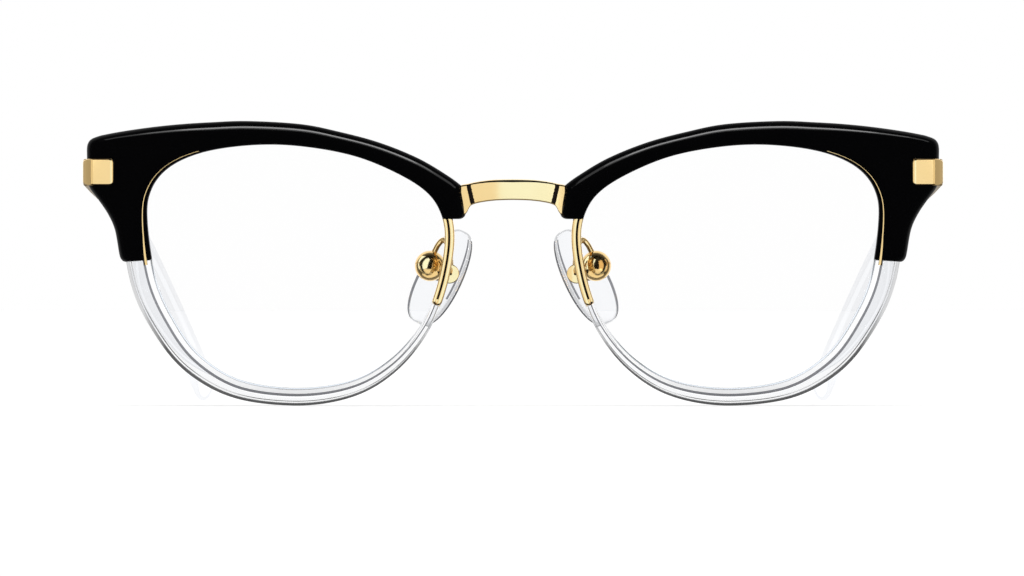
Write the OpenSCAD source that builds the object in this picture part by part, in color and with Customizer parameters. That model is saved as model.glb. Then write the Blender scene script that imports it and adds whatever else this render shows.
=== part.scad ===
// Browline glasses: black brows over clear half rims, with a gold eyewire, bridge,
// corner plates and hinged temples. Millimetres. The front faces -Y and the glasses stand
// on their rims and temple tips. Left and right are the wearer's: the left side is at +X.
// Every sided piece is drawn for the left side and mirrored for the right.

/* [Front] */
// Width of one lens opening
opening_w = 48.4; // [44:0.1:52]
// Height of one lens opening
opening_h = 39.5; // [34:0.1:44]
// Distance between the two lens openings
nose_gap = 22.2; // [20:0.1:26]
// Reach of the brow beyond the opening on the temple side
corner_reach = 9.9; // [9:0.1:12]
// Height of the brow above the opening
brow_h = 3.9; // [3.6:0.1:6]
// Height of the brow's outer end
corner_h = 7.9; // [7:0.1:9]
// Thickness of the brow, front to back
brow_t = 4.4; // [4:0.1:5.5]
// Radius of the curve that the front is bent to
front_r = 150; // [120:1:220]
// Distance of that curve's crest from the middle
front_crest = 28; // [20:1:34]

/* [Lower rim and lens] */
// Width of the rim beside the temple
rim_temple_w = 4.2; // [3.8:0.1:5.5]
// Width of the rim at the bottom
rim_bottom_w = 2.9; // [2.2:0.1:4]
// Width of the rim beside the nose
rim_nose_w = 1.4; // [1.2:0.1:2.2]
// Thickness of the rim, front to back
rim_t = 3.2; // [3:0.1:3.4]
// Distance of the rim's face behind the brow's face
rim_set = 0.9; // [0.5:0.1:1]
// Thickness of the lens
lens_t = 1.6; // [1.2:0.1:1.7]
// Depth of the groove that holds the lens
groove_d = 0.45; // [0.35:0.05:0.5]

/* [Gold wire and bridge] */
// Width of the eyewire's leg beside the nose
leg_w = 1.5; // [1.4:0.1:2]
// Width of the gold line in the brow
line_w = 0.4; // [0.35:0.05:0.6]
// Width of the black lip between the gold line and the opening
lip_w = 0.75; // [0.7:0.05:1.1]
// Height of the bridge strip
bridge_h = 3.3; // [2.6:0.1:4]
// Thickness of the bridge strip
bridge_t = 1.8; // [1.4:0.1:2.2]
// Height of the bridge's top at the middle
bridge_z = 36.8; // [35:0.1:37.5]
// Radius of the lugs that the brow screws go through
lug_r = 1.1; // [1:0.05:1.2]
// Radius of the brow screws' shanks
brow_screw_r = 0.45; // [0.35:0.05:0.5]

/* [Corner and hinge] */
// Height of the corner plate
plate_h = 4.4; // [4:0.1:5]
// Width of the corner plate's front leg
plate_w = 5.1; // [4:0.1:6]
// Thickness of the corner plate
plate_t = 0.7; // [0.6:0.05:0.9]
// Height of the corner plate's middle above the ground
plate_z = 38; // [37:0.1:39]
// Radius of the hinge knuckles
knuckle_r = 1.3; // [1.2:0.05:1.4]
// Radius of the hinge screw's shank
hinge_screw_r = 0.65; // [0.5:0.05:0.7]
// Thickness of the front hinge leaf
leaf_t = 0.8; // [0.7:0.05:1]

/* [Temples] */
// Length of the arm from the hinge to the ear bend
arm_l = 92; // [84:1:100]
// Length of the tip from the ear bend to its end
tip_l = 48; // [44:1:54]
// Thickness of the arm
arm_t = 1.2; // [1:0.05:1.4]
// Height of the arm at the hinge
arm_h = 4.4; // [4:0.1:5]
// Height of the arm where it meets the tip
arm_end_h = 3; // [2.6:0.1:3.4]
// Length of the tip's straight part on the arm
sleeve_l = 26; // [22:1:34]
// Thickness of the tip
tip_t = 3.2; // [2.8:0.1:3.6]
// Height of the tip at its thickest place
tip_h = 6.4; // [5:0.1:7.5]
// Slope of the arm, down to the rear
arm_slope = 5; // [3:0.5:7]
// Turn of the arm towards the middle
arm_turn = 3.5; // [2:0.5:4]
// Turn of the tip towards the middle, measured from the arm
tip_turn = 13.5; // [8:0.5:14]

/* [Nose pads] */
// Length of a nose pad
pad_l = 16.8; // [14:0.1:17.5]
// Width of a nose pad
pad_w = 8.4; // [7:0.1:9]
// Thickness of a nose pad
pad_t = 2.2; // [1.8:0.1:2.6]
// Distance of the pads' centres from the middle
pad_x = 11.8; // [11:0.1:13]
// Height of the pads' centres above the ground
pad_z = 20.9; // [19:0.1:22]
// Distance of the pads' centres behind the bridge's face
pad_y = 10.2; // [9:0.1:12]
// Lean of a pad's long side towards the nose
pad_lean = 26; // [18:1:28]
// Turn of a pad's face away from the front
pad_turn = 38; // [32:1:44]
// Radius of the pad box
box_r = 2.25; // [2:0.05:2.4]
// Radius of the pad arm's wire
wire_r = 0.5; // [0.4:0.05:0.6]

/* [Clearances] */
// Gap between pieces that sit in each other
seat_gap = 0.03; // [0.02:0.01:0.05]
// Radial gap of the screws in the parts that turn on them
run_gap = 0.05; // [0.03:0.01:0.08]
// Gap between the faces of pieces that turn past each other
side_gap = 0.08; // [0.05:0.01:0.15]

/* [Hidden] */
$fn = 48;
curve_fn = 200;

// Colours
black = [0.02, 0.02, 0.03];
gold = [0.85, 0.65, 0.3];
clear = [0.9, 0.92, 0.94, 0.5];

// Outline of a lens opening, left side, seen from behind: distances from its centre, drawn
// on an opening of the size below. It starts beside the temple and goes over the top.
drawn_w = 48.4;
drawn_h = 39.5;
opening_drawn = [[24.2, 7.5], [23.6, 12.4], [20.8, 16.0], [15.7, 18.4], [8.7, 19.6],
    [1.2, 19.7], [-7.2, 18.5], [-13.7, 16.4], [-20.2, 12.9], [-23.3, 9.2], [-24.2, 4.2],
    [-22.9, -3.3], [-20.2, -9.6], [-15.3, -15.1], [-8.8, -18.6], [0.1, -19.75],
    [9.1, -18.4], [15.6, -14.4], [19.8, -8.7], [22.8, -1.9]];
curve_steps = 5;

// Main places of the front
opening_in = nose_gap / 2;
opening_out = opening_in + opening_w;
centre_x = opening_in + opening_w / 2;
centre_z = rim_bottom_w + opening_h / 2;
opening_top = rim_bottom_w + opening_h;
brow_top = opening_top + brow_h;
brow_end = opening_out + corner_reach;
front_half = brow_end + plate_t;
leg_end_z = centre_z + 1;
nose_end_x = opening_in - 3.4;
nose_end_z = centre_z + 7.7;
leg_tip_z = centre_z - 5.5;
rim_join_z = leg_tip_z + 3.5;
shell_deep = 40;

// Depths behind the brow's curved face
lens_set = 2;
lens_back = lens_set + lens_t;
wire_front = 1.5;
wire_back = 3.6;
leg_front = 0.35;
leg_back = lens_set - 0.1;
web_back = lens_back + 0.15;
lip_back = web_back + 0.4;
web_in = groove_d + 0.05;

// Catmull-Rom curve through a closed row of points
function blend(a, b, c, d, t) = 0.5 * (2 * b + t * (c - a) + t * t * (2 * a - 5 * b + 4 * c - d)
    + t * t * t * (3 * b - a - 3 * c + d));
function closed_curve(p, steps) = let(n = len(p))
    [for (i = [0:n - 1], j = [0:steps - 1])
        blend(p[(i + n - 1) % n], p[i], p[(i + 1) % n], p[(i + 2) % n], j / steps)];
function open_curve(p, steps) = let(n = len(p))
    concat([for (i = [0:n - 2], j = [0:steps - 1])
        blend(p[max(i - 1, 0)], p[i], p[i + 1], p[min(i + 2, n - 1)], j / steps)], [p[n - 1]]);
function unit(v) = v / norm(v);
function cross_turn(v) = [v[1], -v[0]];

opening = [for (p = closed_curve(opening_drawn, curve_steps))
    [centre_x + p[0] * opening_w / drawn_w, centre_z + p[1] * opening_h / drawn_h]];
opening_out_dir = let(n = len(opening))
    [for (i = [0:n - 1]) unit(cross_turn(opening[(i + 1) % n] - opening[(i + n - 1) % n]))];

// Outline at a distance outside the opening
function ring(d) = [for (i = [0:len(opening) - 1]) opening[i] + d * opening_out_dir[i]];

// Share of a direction that points sideways, from 0 at the bottom to 1 at the sides
function sideways(i) = let(v = opening[i] - [centre_x, centre_z]) pow(v[0] / norm(v), 2);
function rim_w(i) = rim_bottom_w
    + ((opening[i][0] > centre_x ? rim_temple_w : rim_nose_w) - rim_bottom_w) * sideways(i);
rim_outer = [for (i = [0:len(opening) - 1]) opening[i] + rim_w(i) * opening_out_dir[i]];

// Outline of the brow: fraction of the way from its nose end to its outer end, and drop
// below its crest, along the top
brow_crest = [[0.0, 10.6], [0.035, 9.0], [0.115, 6.1], [0.22, 3.5], [0.33, 1.7], [0.43, 0.5],
    [0.57, 0], [0.67, 0.2], [0.75, 0.5], [0.83, 1.0], [0.91, 1.7], [0.962, 2.3]];
corner_x = brow_end;
corner_top = brow_top - 2.6;
corner_low = corner_top - corner_h;
nose_top_x = nose_end_x + 0.6;
brow_top_line = [for (p = open_curve(brow_crest, 3))
    [nose_top_x + p[0] * (corner_x - nose_top_x), brow_top - p[1] * opening_h / drawn_h]];
leg_out = opening_out + rim_temple_w;
brow_outline = concat(
    [[opening_in + 0.6, nose_end_z], [nose_end_x + 0.8, nose_end_z],
        [nose_end_x + 0.2, nose_end_z + 0.4], [nose_end_x, nose_end_z + 1]],
    brow_top_line,
    [[corner_x - 1, corner_top - 0.2], [corner_x - 0.3, corner_top - 0.8],
        [corner_x, corner_top - 1.6]],
    open_curve([[corner_x - 0.1, corner_low + 0.6], [corner_x - 0.6, corner_low - 0.6],
        [corner_x - 2.1, corner_low - 2.6], [leg_out + 2.2, corner_low - 4.7],
        [leg_out + 1.1, corner_low - 7.2], [leg_out + 0.4, leg_end_z + 1.2],
        [leg_out - 0.7, leg_end_z]], 3),
    [[opening_out - 1.5, leg_end_z], [centre_x, nose_end_z]]);

// Depth of the curved front at a place, and the pieces cut from its shell
function sag(x, z) = front_r - sqrt(front_r * front_r - pow(x - front_crest, 2)
    - pow(z - centre_z, 2));
module ball(r) {
    translate([front_crest, front_r, centre_z]) sphere(r = r, $fn = curve_fn);
}
module shell(front, back) {
    intersection() {
        translate([0, shell_deep, 0]) rotate([90, 0, 0]) linear_extrude(shell_deep + 2)
            children();
        difference() {
            ball(front_r - front);
            ball(front_r - back);
        }
    }
}
// A part of the front's plane, as a rectangle
module window(x0, x1, z0, z1) {
    translate([x0, z0]) square([x1 - x0, z1 - z0]);
}
module band(near, far) {
    difference() {
        polygon(ring(far));
        polygon(ring(near));
    }
}
module nose_side(z0, z1) {
    window(0, centre_x, z0, z1);
}
module temple_side(z0, z1) {
    window(centre_x, brow_end, z0, z1);
}

// The glasses' depth, which puts the origin under its middle
arm_clear = 0.2;
knuckle_clear = 0.35;
hinge_x = front_half - arm_t - knuckle_r - arm_clear;
hinge_y = sag(hinge_x, plate_z) + brow_t + leaf_t + knuckle_r + knuckle_clear;
arm_mid = knuckle_r + arm_clear + arm_t / 2;
bridge_y = 1;
bridge_r = 40;
tip_end_r = tip_h * 0.45;
// A place in the temple's own frame: x outwards, y along the arm, z up
function turned_z(p, a) = [p[0] * cos(a) - p[1] * sin(a), p[0] * sin(a) + p[1] * cos(a), p[2]];
function turned_x(p, a) = [p[0], p[1] * cos(a) - p[2] * sin(a), p[1] * sin(a) + p[2] * cos(a)];
function placed(p) = [hinge_x, hinge_y, plate_z] + turned_x(turned_z(p, arm_turn), -arm_slope);
tip_start = [arm_mid, arm_l - sleeve_l, 0];
ear_bend = [arm_mid, arm_l, 0];
function tip_point(fall, l) = ear_bend
    + l * [-cos(fall) * sin(tip_turn), cos(fall) * cos(tip_turn), -sin(fall)];
// Lowest point of the tip's round end, and the fall at which that end is on the ground
function tip_low(fall) = placed(tip_point(fall, tip_l - tip_end_r))[2]
    - norm([tip_end_r * sin(fall + arm_slope), tip_h / 2 * cos(fall + arm_slope)]);
function settled(fall, turns) = turns == 0 ? fall
    : settled(fall + tip_low(fall) / tip_l * 60, turns - 1);
tip_fall = settled(30, 15);
tip_end = tip_point(tip_fall, tip_l);
tip_back_y = placed(tip_point(tip_fall, tip_l - tip_end_r))[1]
    + norm([tip_end_r * cos(tip_fall + arm_slope), tip_h / 2 * sin(tip_fall + arm_slope)]);
middle_y = (bridge_y + tip_back_y) / 2;

module place() {
    translate([0, -middle_y, 0]) children();
}
module left() {
    place() children();
}
module right() {
    mirror([1, 0, 0]) place() children();
}
module temple_frame() {
    translate([hinge_x, hinge_y, plate_z]) rotate([-arm_slope, 0, 0]) children();
}
module arm_frame() {
    temple_frame() rotate([0, 0, arm_turn]) children();
}
// A solid through a row of rings of points
module loft(rings) {
    n = len(rings[0]);
    m = len(rings);
    points = [for (r = rings) each r];
    sides = [for (i = [0:m - 2], j = [0:n - 1])
        [i * n + j, i * n + (j + 1) % n, (i + 1) * n + (j + 1) % n, (i + 1) * n + j]];
    caps = [[for (j = [n - 1:-1:0]) j], [for (j = [0:n - 1]) (m - 1) * n + j]];
    polyhedron(points = points, faces = concat(sides, caps), convexity = 4);
}
function ring_at(p, side, up, a, b, n) = [for (j = [0:n - 1])
    p + a * cos(360 * j / n) * side + b * sin(360 * j / n) * up];

// Brow and what is let into it
line_top_z = centre_z + 14.5;
line_low_z = leg_end_z - 0.9;
lug_shares = [0.27, 0.82];
lug_out = lip_w + lug_r + 0.1;
lug_proud = 0.35;
function top_point(f) = let(
    hits = [for (i = [0:len(opening) - 1])
        if (opening[i][1] > centre_z && abs(opening[i][0] - opening_in - f * opening_w)
            < opening_w / 18) i],
    i = hits[floor(len(hits) / 2)]) opening[i] + lug_out * opening_out_dir[i];
lug_places = [for (f = lug_shares) top_point(f)];

module wire_line(gap) {
    shell(wire_front - gap, wire_back + gap) intersection() {
        band(lip_w - gap, lip_w + line_w + gap);
        union() {
            nose_side(nose_end_z + 1, brow_top);
            temple_side(line_low_z, brow_top);
        }
    }
    shell(-0.04 - gap, wire_back + gap) intersection() {
        band(lip_w - gap, lip_w + line_w + gap);
        temple_side(line_low_z, line_top_z);
    }
}
module wire_web(gap) {
    shell(leg_back - 0.4 - gap, web_back + gap) intersection() {
        band(web_in - gap, leg_w + gap);
        nose_side(rim_join_z, nose_end_z + 2.7 + gap);
    }
}
module at_lugs() {
    for (p = lug_places) translate([p[0], sag(p[0], p[1]), p[1]]) rotate([-90, 0, 0])
        children();
}
module lugs(gap) {
    at_lugs() translate([0, 0, wire_back - 0.5 - gap]) cylinder(r = lug_r + gap,
        h = brow_t - wire_back + 0.5 + lug_proud + gap);
}
plate_bend = 1.3;
plate_proud = 0.35;
plate_short = 0.7;
module plate_plan() {
    y_in = sag(brow_end - plate_w + plate_t, plate_z);
    y_out = sag(brow_end, plate_z);
    polygon([[front_half - plate_w, y_in - plate_proud], [front_half - plate_bend, y_out - 0.3],
        [front_half - 0.4, y_out + 0.15], [front_half, y_out + plate_bend],
        [front_half, hinge_y - plate_short], [brow_end, hinge_y - plate_short],
        [brow_end, y_out + plate_bend + 0.3], [brow_end - 0.9, y_out + plate_t - 0.1],
        [front_half - plate_w, y_in + plate_t - plate_proud]]);
}
module plate_body() {
    translate([0, 0, plate_z - plate_h / 2]) linear_extrude(plate_h) plate_plan();
}
pin_r = 0.45;
pin_apart = 2.4;
pin_x = brow_end - 2.9;
module plate_pins(r) {
    for (s = [-1, 1]) translate([pin_x, sag(pin_x, plate_z) + 0.1, plate_z + s * pin_apart / 2])
        rotate([-90, 0, 0]) cylinder(r = r, h = brow_t + leaf_t - 0.3);
}
module corner_plate() {
    color(gold) {
        plate_body();
        plate_pins(pin_r);
    }
}
module brow() {
    color(black) {
        difference() {
            shell(0, brow_t) difference() {
                polygon(brow_outline);
                polygon(opening);
            }
            shell(lens_set - seat_gap, lens_back + seat_gap) polygon(ring(groove_d));
            wire_line(seat_gap);
            wire_web(seat_gap);
            foot(seat_gap);
            lugs(seat_gap);
            at_lugs() translate([0, 0, wire_front]) cylinder(r = brow_screw_r + seat_gap,
                h = brow_t);
            translate([0, 0, plate_z - plate_h / 2 - seat_gap])
                linear_extrude(plate_h + 2 * seat_gap) plate_plan();
            plate_pins(pin_r + seat_gap);
        }
    }
}
module lower_rim() {
    color(clear) {
        difference() {
            shell(rim_set, rim_set + rim_t) intersection() {
                difference() {
                    polygon(rim_outer);
                    polygon(opening);
                }
                union() {
                    nose_side(-1, rim_join_z);
                    temple_side(-1, leg_end_z);
                }
            }
            shell(lens_set - seat_gap, lens_back + seat_gap) polygon(ring(groove_d));
            wire_line(seat_gap);
            leg_lip(seat_gap);
        }
    }
}
// Visible gold leg, with a round tip
module leg_lip(gap) {
    shell(leg_front - gap, leg_back + gap) {
        intersection() {
            band(-gap, leg_w + gap);
            nose_side(leg_tip_z, nose_end_z);
        }
        translate(leg_tip) circle(r = leg_w / 2 + gap);
    }
}
leg_tip_i = [for (i = [0:len(opening) - 1])
    if (opening[i][0] < centre_x && abs(opening[i][1] - leg_tip_z) < opening_h / 20) i][0];
leg_tip = opening[leg_tip_i] + leg_w / 2 * opening_out_dir[leg_tip_i];
module eyewire() {
    color(gold) {
        difference() {
            union() {
                leg_lip(0);
                wire_web(0);
                wire_line(0);
                shell(web_back - 0.01, lip_back) intersection() {
                    band(0, leg_w);
                    nose_side(rim_join_z, nose_end_z - 0.1);
                }
                lugs(0);
            }
            at_lugs() cylinder(r = brow_screw_r + seat_gap, h = brow_t + 1);
            shell(lens_set - seat_gap, lens_back + seat_gap) polygon(ring(groove_d));
        }
    }
}
module lens() {
    color(clear) {
        shell(lens_set, lens_back) polygon(ring(groove_d - 0.05));
    }
}

// Bridge: an arched strip, and a foot at each end behind the brow
foot_in = nose_end_x - 1.2;
module foot_plan(gap) {
    difference() {
        polygon([[foot_in - 0.3, bridge_z - 1.5], [nose_end_x, bridge_z - 0.9],
            [opening_in - 0.4 + gap, bridge_z - 1], [opening_in - 0.4 + gap, nose_end_z + 1.2],
            [nose_end_x - 0.1 - gap, nose_end_z + 0.9 - gap], [foot_in + 0.2, bridge_z - 3.3],
            [foot_in - 0.3, bridge_z - 3.9]]);
        polygon(ring(leg_w + 0.02));
    }
}
module foot(gap) {
    shell(wire_front - gap, wire_back + gap) foot_plan(gap);
}
module bridge() {
    strip = open_curve([[0, 0], [3.7, -0.1], [5.4, -0.3], [nose_end_x - 0.5, -0.75]], 4);
    half = [for (p = strip) [p[0], bridge_z + p[1]]];
    low = [for (i = [len(half) - 1:-1:0]) half[i] - [half[i][0] * 0.06, bridge_h]];
    color(gold) {
        for (s = [0, 1]) mirror([s, 0, 0]) {
            intersection() {
                translate([0, shell_deep, 0]) rotate([90, 0, 0]) linear_extrude(shell_deep + 2)
                    polygon(concat(half, low));
                difference() {
                    translate([0, bridge_y + bridge_r, 0]) cylinder(r = bridge_r, h = brow_top,
                        $fn = curve_fn);
                    translate([0, bridge_y + bridge_r, -1]) cylinder(r = bridge_r - bridge_t,
                        h = brow_top + 2, $fn = curve_fn);
                }
            }
            foot(0);
            intersection() {
                translate([0, shell_deep, 0]) rotate([90, 0, 0]) linear_extrude(shell_deep + 2)
                    intersection() {
                        foot_plan(0);
                        window(0, nose_end_x - 0.1, 0, brow_top);
                    }
                translate([0, bridge_y + 0.5, 0]) cube([nose_end_x, wire_back + 1, brow_top]);
            }
        }
    }
}
brow_screw_tip = wire_front + 0.3;
module brow_screw_pair() {
    at_lugs() {
        translate([0, 0, brow_screw_tip]) cylinder(r = brow_screw_r,
            h = brow_t + lug_proud + 0.1 - brow_screw_tip);
        translate([0, 0, brow_t + lug_proud]) cylinder(r = lug_r - 0.25, h = 0.5);
    }
}
module brow_screws() {
    color(gold) {
        left() brow_screw_pair();
        right() brow_screw_pair();
    }
}

// Hinge: two knuckles on the front leaf, one between them on the temple leaf
knuckle_h = 1.4;
knuckle_web = 0.8;
front_leaf_w = 6.3;
head_h = 0.5;
head_slot = 0.3;
middle_half = knuckle_h / 2;
outer_low = middle_half + side_gap;
outer_top = plate_h / 2;
module hinge_front() {
    color(gold) {
        difference() {
            union() {
                shell(brow_t, brow_t + leaf_t) window(brow_end - 0.1 - front_leaf_w, brow_end - 0.1,
                    plate_z - plate_h / 2 + 0.1, plate_z + plate_h / 2 - 0.1);
                temple_frame() for (s = [0, 1]) mirror([0, 0, s]) translate([0, 0, outer_low]) {
                    cylinder(r = knuckle_r, h = outer_top - outer_low);
                    translate([-knuckle_r, -knuckle_r - knuckle_web, 0])
                        cube([2 * knuckle_r, knuckle_r + knuckle_web, outer_top - outer_low]);
                }
            }
            temple_frame() translate([0, 0, -plate_h]) cylinder(r = hinge_screw_r + run_gap,
                h = 2 * plate_h);
            plate_pins(pin_r + seat_gap);
            shell(0, brow_t) window(0, 2 * brow_end, 0, brow_top);
        }
    }
}
module hinge_screw() {
    temple_frame() {
        translate([0, 0, -outer_top]) cylinder(r = hinge_screw_r, h = 2 * outer_top);
        difference() {
            translate([0, 0, outer_top]) cylinder(r = knuckle_r - 0.2, h = head_h);
            translate([-knuckle_r, -head_slot / 2, outer_top + head_h / 2])
                cube([2 * knuckle_r, head_slot, head_h]);
        }
    }
}
module hinge_screws() {
    color(gold) {
        left() hinge_screw();
        right() hinge_screw();
    }
}
temple_leaf_t = 0.6;
temple_leaf_l = 8;
temple_leaf_h = 3;
leaf_in = knuckle_r + arm_clear - temple_leaf_t;
module hinge_temple() {
    color(gold) {
        difference() {
            union() {
                temple_frame() translate([0, 0, -middle_half]) cylinder(r = knuckle_r,
                    h = knuckle_h);
                temple_frame() translate([0, 0, -middle_half])
                    cube([leaf_in + 0.3, knuckle_r + 1, knuckle_h]);
                arm_frame() translate([leaf_in, knuckle_r + 0.4, -temple_leaf_h / 2])
                    cube([temple_leaf_t, temple_leaf_l, temple_leaf_h]);
            }
            temple_frame() translate([0, 0, -plate_h]) cylinder(r = hinge_screw_r + run_gap,
                h = 2 * plate_h);
        }
    }
}

// Temple arm: a flat strip that tapers, and a core inside the tip
arm_start = 0.4;
taper_y = 12;
core_h = 1.6;
core_t = 0.9;
core_l = sleeve_l - 3;
module temple_arm() {
    color(gold) {
        arm_frame() {
            translate([knuckle_r + arm_clear, 0, 0]) rotate([90, 0, 90]) linear_extrude(arm_t)
                polygon([[-arm_start, -arm_h / 2], [taper_y, -arm_h / 2],
                    [arm_l - sleeve_l, -arm_end_h / 2], [arm_l - sleeve_l, arm_end_h / 2],
                    [taper_y, arm_h / 2], [-arm_start, arm_h / 2]]);
            translate([arm_mid - core_t / 2, arm_l - sleeve_l - 1, -core_h / 2])
                cube([core_t, core_l + 1, core_h]);
        }
    }
}

// Temple tip: rings along a path that runs straight on the arm and then turns down and in
sleeve_h = arm_end_h + 1;
tip_sides = 12;
tip_steps = 24;
ear_soft = 14;
function tip_path(s) = s < sleeve_l - ear_soft ? tip_start + [0, s, 0]
    : s > sleeve_l + ear_soft ? ear_bend + (tip_end - ear_bend) * (s - sleeve_l) / tip_l
    : let(t = (s - sleeve_l + ear_soft) / (2 * ear_soft),
        a = ear_bend - [0, ear_soft, 0],
        c = ear_bend + (tip_end - ear_bend) * ear_soft / tip_l)
        (1 - t) * (1 - t) * a + 2 * t * (1 - t) * ear_bend + t * t * c;
tip_whole = sleeve_l + tip_l;
function tip_half_h(f) = sleeve_h / 2
    + (tip_h - sleeve_h) / 2 * (f < 0.35 ? 0 : sin(90 * min((f - 0.35) / 0.5, 1)));
// Roundness of the tip's two ends: 1 along the tip, falling to a small flat at each end
function end_round(s) = let(a = min(s / 1.2, 1), b = min((tip_whole - s) / tip_end_r, 1))
    (0.75 + 0.25 * sqrt(1 - pow(1 - a, 2))) * max(0.25, sqrt(1 - pow(1 - b, 2)));
module tip_solid() {
    marks = concat([0, 0.3, 0.7, 1.2], [for (i = [1:tip_steps - 1])
        1.2 + (tip_whole - tip_end_r - 1.2) * i / tip_steps],
        [for (a = [0:15:75]) tip_whole - tip_end_r + tip_end_r * sin(a)],
        [tip_whole]);
    rings = [for (s = marks) let(
        p = tip_path(s),
        d = unit(tip_path(min(s + 0.2, tip_whole)) - tip_path(max(s - 0.2, 0))),
        side = unit(cross(d, [0, 0, 1])),
        up = cross(side, d),
        k = end_round(s))
        ring_at(p, side, up, tip_t / 2 * k, tip_half_h(s / tip_whole) * k, tip_sides)];
    loft(rings);
}
module temple_tip() {
    color(clear) {
        arm_frame() difference() {
            tip_solid();
            translate([arm_mid - core_t / 2 - seat_gap, arm_l - sleeve_l - 1, -core_h / 2 - seat_gap])
                cube([core_t + 2 * seat_gap, core_l + 1 + seat_gap, core_h + 2 * seat_gap]);
        }
    }
}

// Nose pad and its fittings. In the pad's frame x is across it, y from its front to its
// back and z along it.
module pad_frame() {
    translate([pad_x, bridge_y + pad_y, pad_z]) rotate([0, -pad_lean, 0])
        rotate([0, 0, pad_turn]) children();
}
box_at = [0.7, -2.9, 0.9];
box_cut = 1.4;
tongue_r = 1.1;
tongue_t = 1.1;
pad_screw_r = 0.45;
pad_head_r = 0.8;
pad_head_in = 0.55;
disc_r = 1.6;
disc_t = 0.6;
collar_r = 1.2;
neck_w = 1.6;
module nose_pad() {
    rows = 14;
    rings = [for (i = [0:rows]) let(
        a = -84 + 168 * i / rows,
        z = pad_l / 2 * sin(a),
        w = pad_w / 2 * pow(cos(a), 0.75) * (1 - 0.08 * sin(a)),
        t = pad_t / 2 * pow(cos(a), 0.5))
        ring_at([0, 0.25 * sin(a), z], [0, 1, 0], [1, 0, 0], t, w, 20)];
    color(clear) pad_frame() difference() {
        loft(rings);
        translate([box_at[0], 0, box_at[2]]) rotate([90, 0, 0]) cylinder(r = disc_r + seat_gap,
            h = pad_t);
    }
}
module pad_stem() {
    color(gold) pad_frame() {
        translate([box_at[0], 0, box_at[2]]) rotate([90, 0, 0]) cylinder(r = disc_r, h = disc_t);
        translate([box_at[0], -disc_t / 2, box_at[2]]) rotate([90, 0, 0])
            cylinder(r = collar_r, h = disc_t);
        difference() {
            translate(box_at) union() {
                rotate([0, 90, 0]) cylinder(r = tongue_r, h = tongue_t, center = true);
                translate([-tongue_t / 2, 0, -neck_w / 2])
                    cube([tongue_t, -box_at[1] - disc_t / 2, neck_w]);
            }
            translate(box_at) rotate([0, 90, 0]) cylinder(r = pad_screw_r + run_gap,
                h = 2 * box_r, center = true);
        }
    }
}
module pad_box() {
    color(gold) {
        pad_frame() translate(box_at) difference() {
            sphere(r = box_r);
            translate([-tongue_t / 2 - side_gap, -1.6, -box_r]) cube([tongue_t + 2 * side_gap,
                box_r * 2, box_r * 2]);
            translate([-box_r, box_cut, -box_r]) cube([box_r * 2, box_r, box_r * 2]);
            rotate([0, 90, 0]) cylinder(r = pad_screw_r + seat_gap, h = 3 * box_r, center = true);
            translate([box_r - pad_head_in, 0, 0]) rotate([0, 90, 0]) cylinder(r = pad_head_r
                + run_gap, h = 1);
        }
    }
}
module pad_screw() {
    pad_frame() translate(box_at) {
        rotate([0, 90, 0]) cylinder(r = pad_screw_r, h = 2 * box_r - 0.6, center = true);
        translate([box_r - pad_head_in, 0, 0]) rotate([0, 90, 0]) cylinder(r = pad_head_r,
            h = 0.4);
    }
}
module pad_screws() {
    color(gold) {
        left() pad_screw();
        right() pad_screw();
    }
}

// Pad arm: a wire that leaves the back of the leg, loops up and comes down on the box
function leaned(q) = [q[0] * cos(pad_lean) - q[2] * sin(pad_lean), q[1],
    q[0] * sin(pad_lean) + q[2] * cos(pad_lean)];
function pad_placed(p) = [pad_x, bridge_y + pad_y, pad_z] + leaned(turned_z(p, pad_turn));
box_middle = pad_placed(box_at);
leg_root = [opening_in - 0.75, sag(opening_in, centre_z) + lip_back, centre_z - 1.2];
module pad_arm() {
    path = open_curve([leg_root + [0, 0.1, 0], leg_root + [-0.2, 0.8, 1.6],
        leg_root + [0.1, 1.5, 4.3], [opening_in + 0.6, box_middle[1] - 1, box_middle[2] + 4.4],
        box_middle + [-0.6, -0.4, 3.4], box_middle + [0, 0, box_r - 0.1]], 5);
    rings = [for (i = [0:len(path) - 1]) let(
        d = unit(path[min(i + 1, len(path) - 1)] - path[max(i - 1, 0)]),
        side = unit(cross(d, [1, 0, 0.3])),
        up = cross(side, d))
        ring_at(path[i], side, up, wire_r, wire_r, 10)];
    color(gold) {
        difference() {
            loft(rings);
            translate(box_middle) sphere(r = box_r + seat_gap);
            shell(0, lip_back) window(0, centre_x, 0, brow_top);
        }
        shell(lip_back, lip_back + 0.6) translate([leg_root[0], leg_root[2]]) circle(r = disc_r);
    }
}

left() brow();  // brow_left
right() brow();  // brow_right
left() lower_rim();  // lower_rim_left
right() lower_rim();  // lower_rim_right
left() eyewire();  // eyewire_left
right() eyewire();  // eyewire_right
left() lens();  // lens_left
right() lens();  // lens_right
place() bridge();
brow_screws();
left() corner_plate();  // corner_plate_left
right() corner_plate();  // corner_plate_right
left() hinge_front();  // hinge_front_left
right() hinge_front();  // hinge_front_right
hinge_screws();
left() hinge_temple();  // hinge_temple_left
right() hinge_temple();  // hinge_temple_right
left() temple_arm();  // temple_arm_left
right() temple_arm();  // temple_arm_right
left() temple_tip();  // temple_tip_left
right() temple_tip();  // temple_tip_right
left() pad_arm();  // pad_arm_left
right() pad_arm();  // pad_arm_right
left() pad_box();  // pad_box_left
right() pad_box();  // pad_box_right
left() pad_stem();  // pad_stem_left
right() pad_stem();  // pad_stem_right
pad_screws();
left() nose_pad();  // nose_pad_left
right() nose_pad();  // nose_pad_right
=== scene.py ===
"""Looks of a pair of browline glasses, built around the packed CAD frame.

Shapes are worked out in millimetres on the left side, in the same place as the CAD nodes that
they stand for, and mirrored for the right. The front faces -Y.
"""

import math

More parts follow.
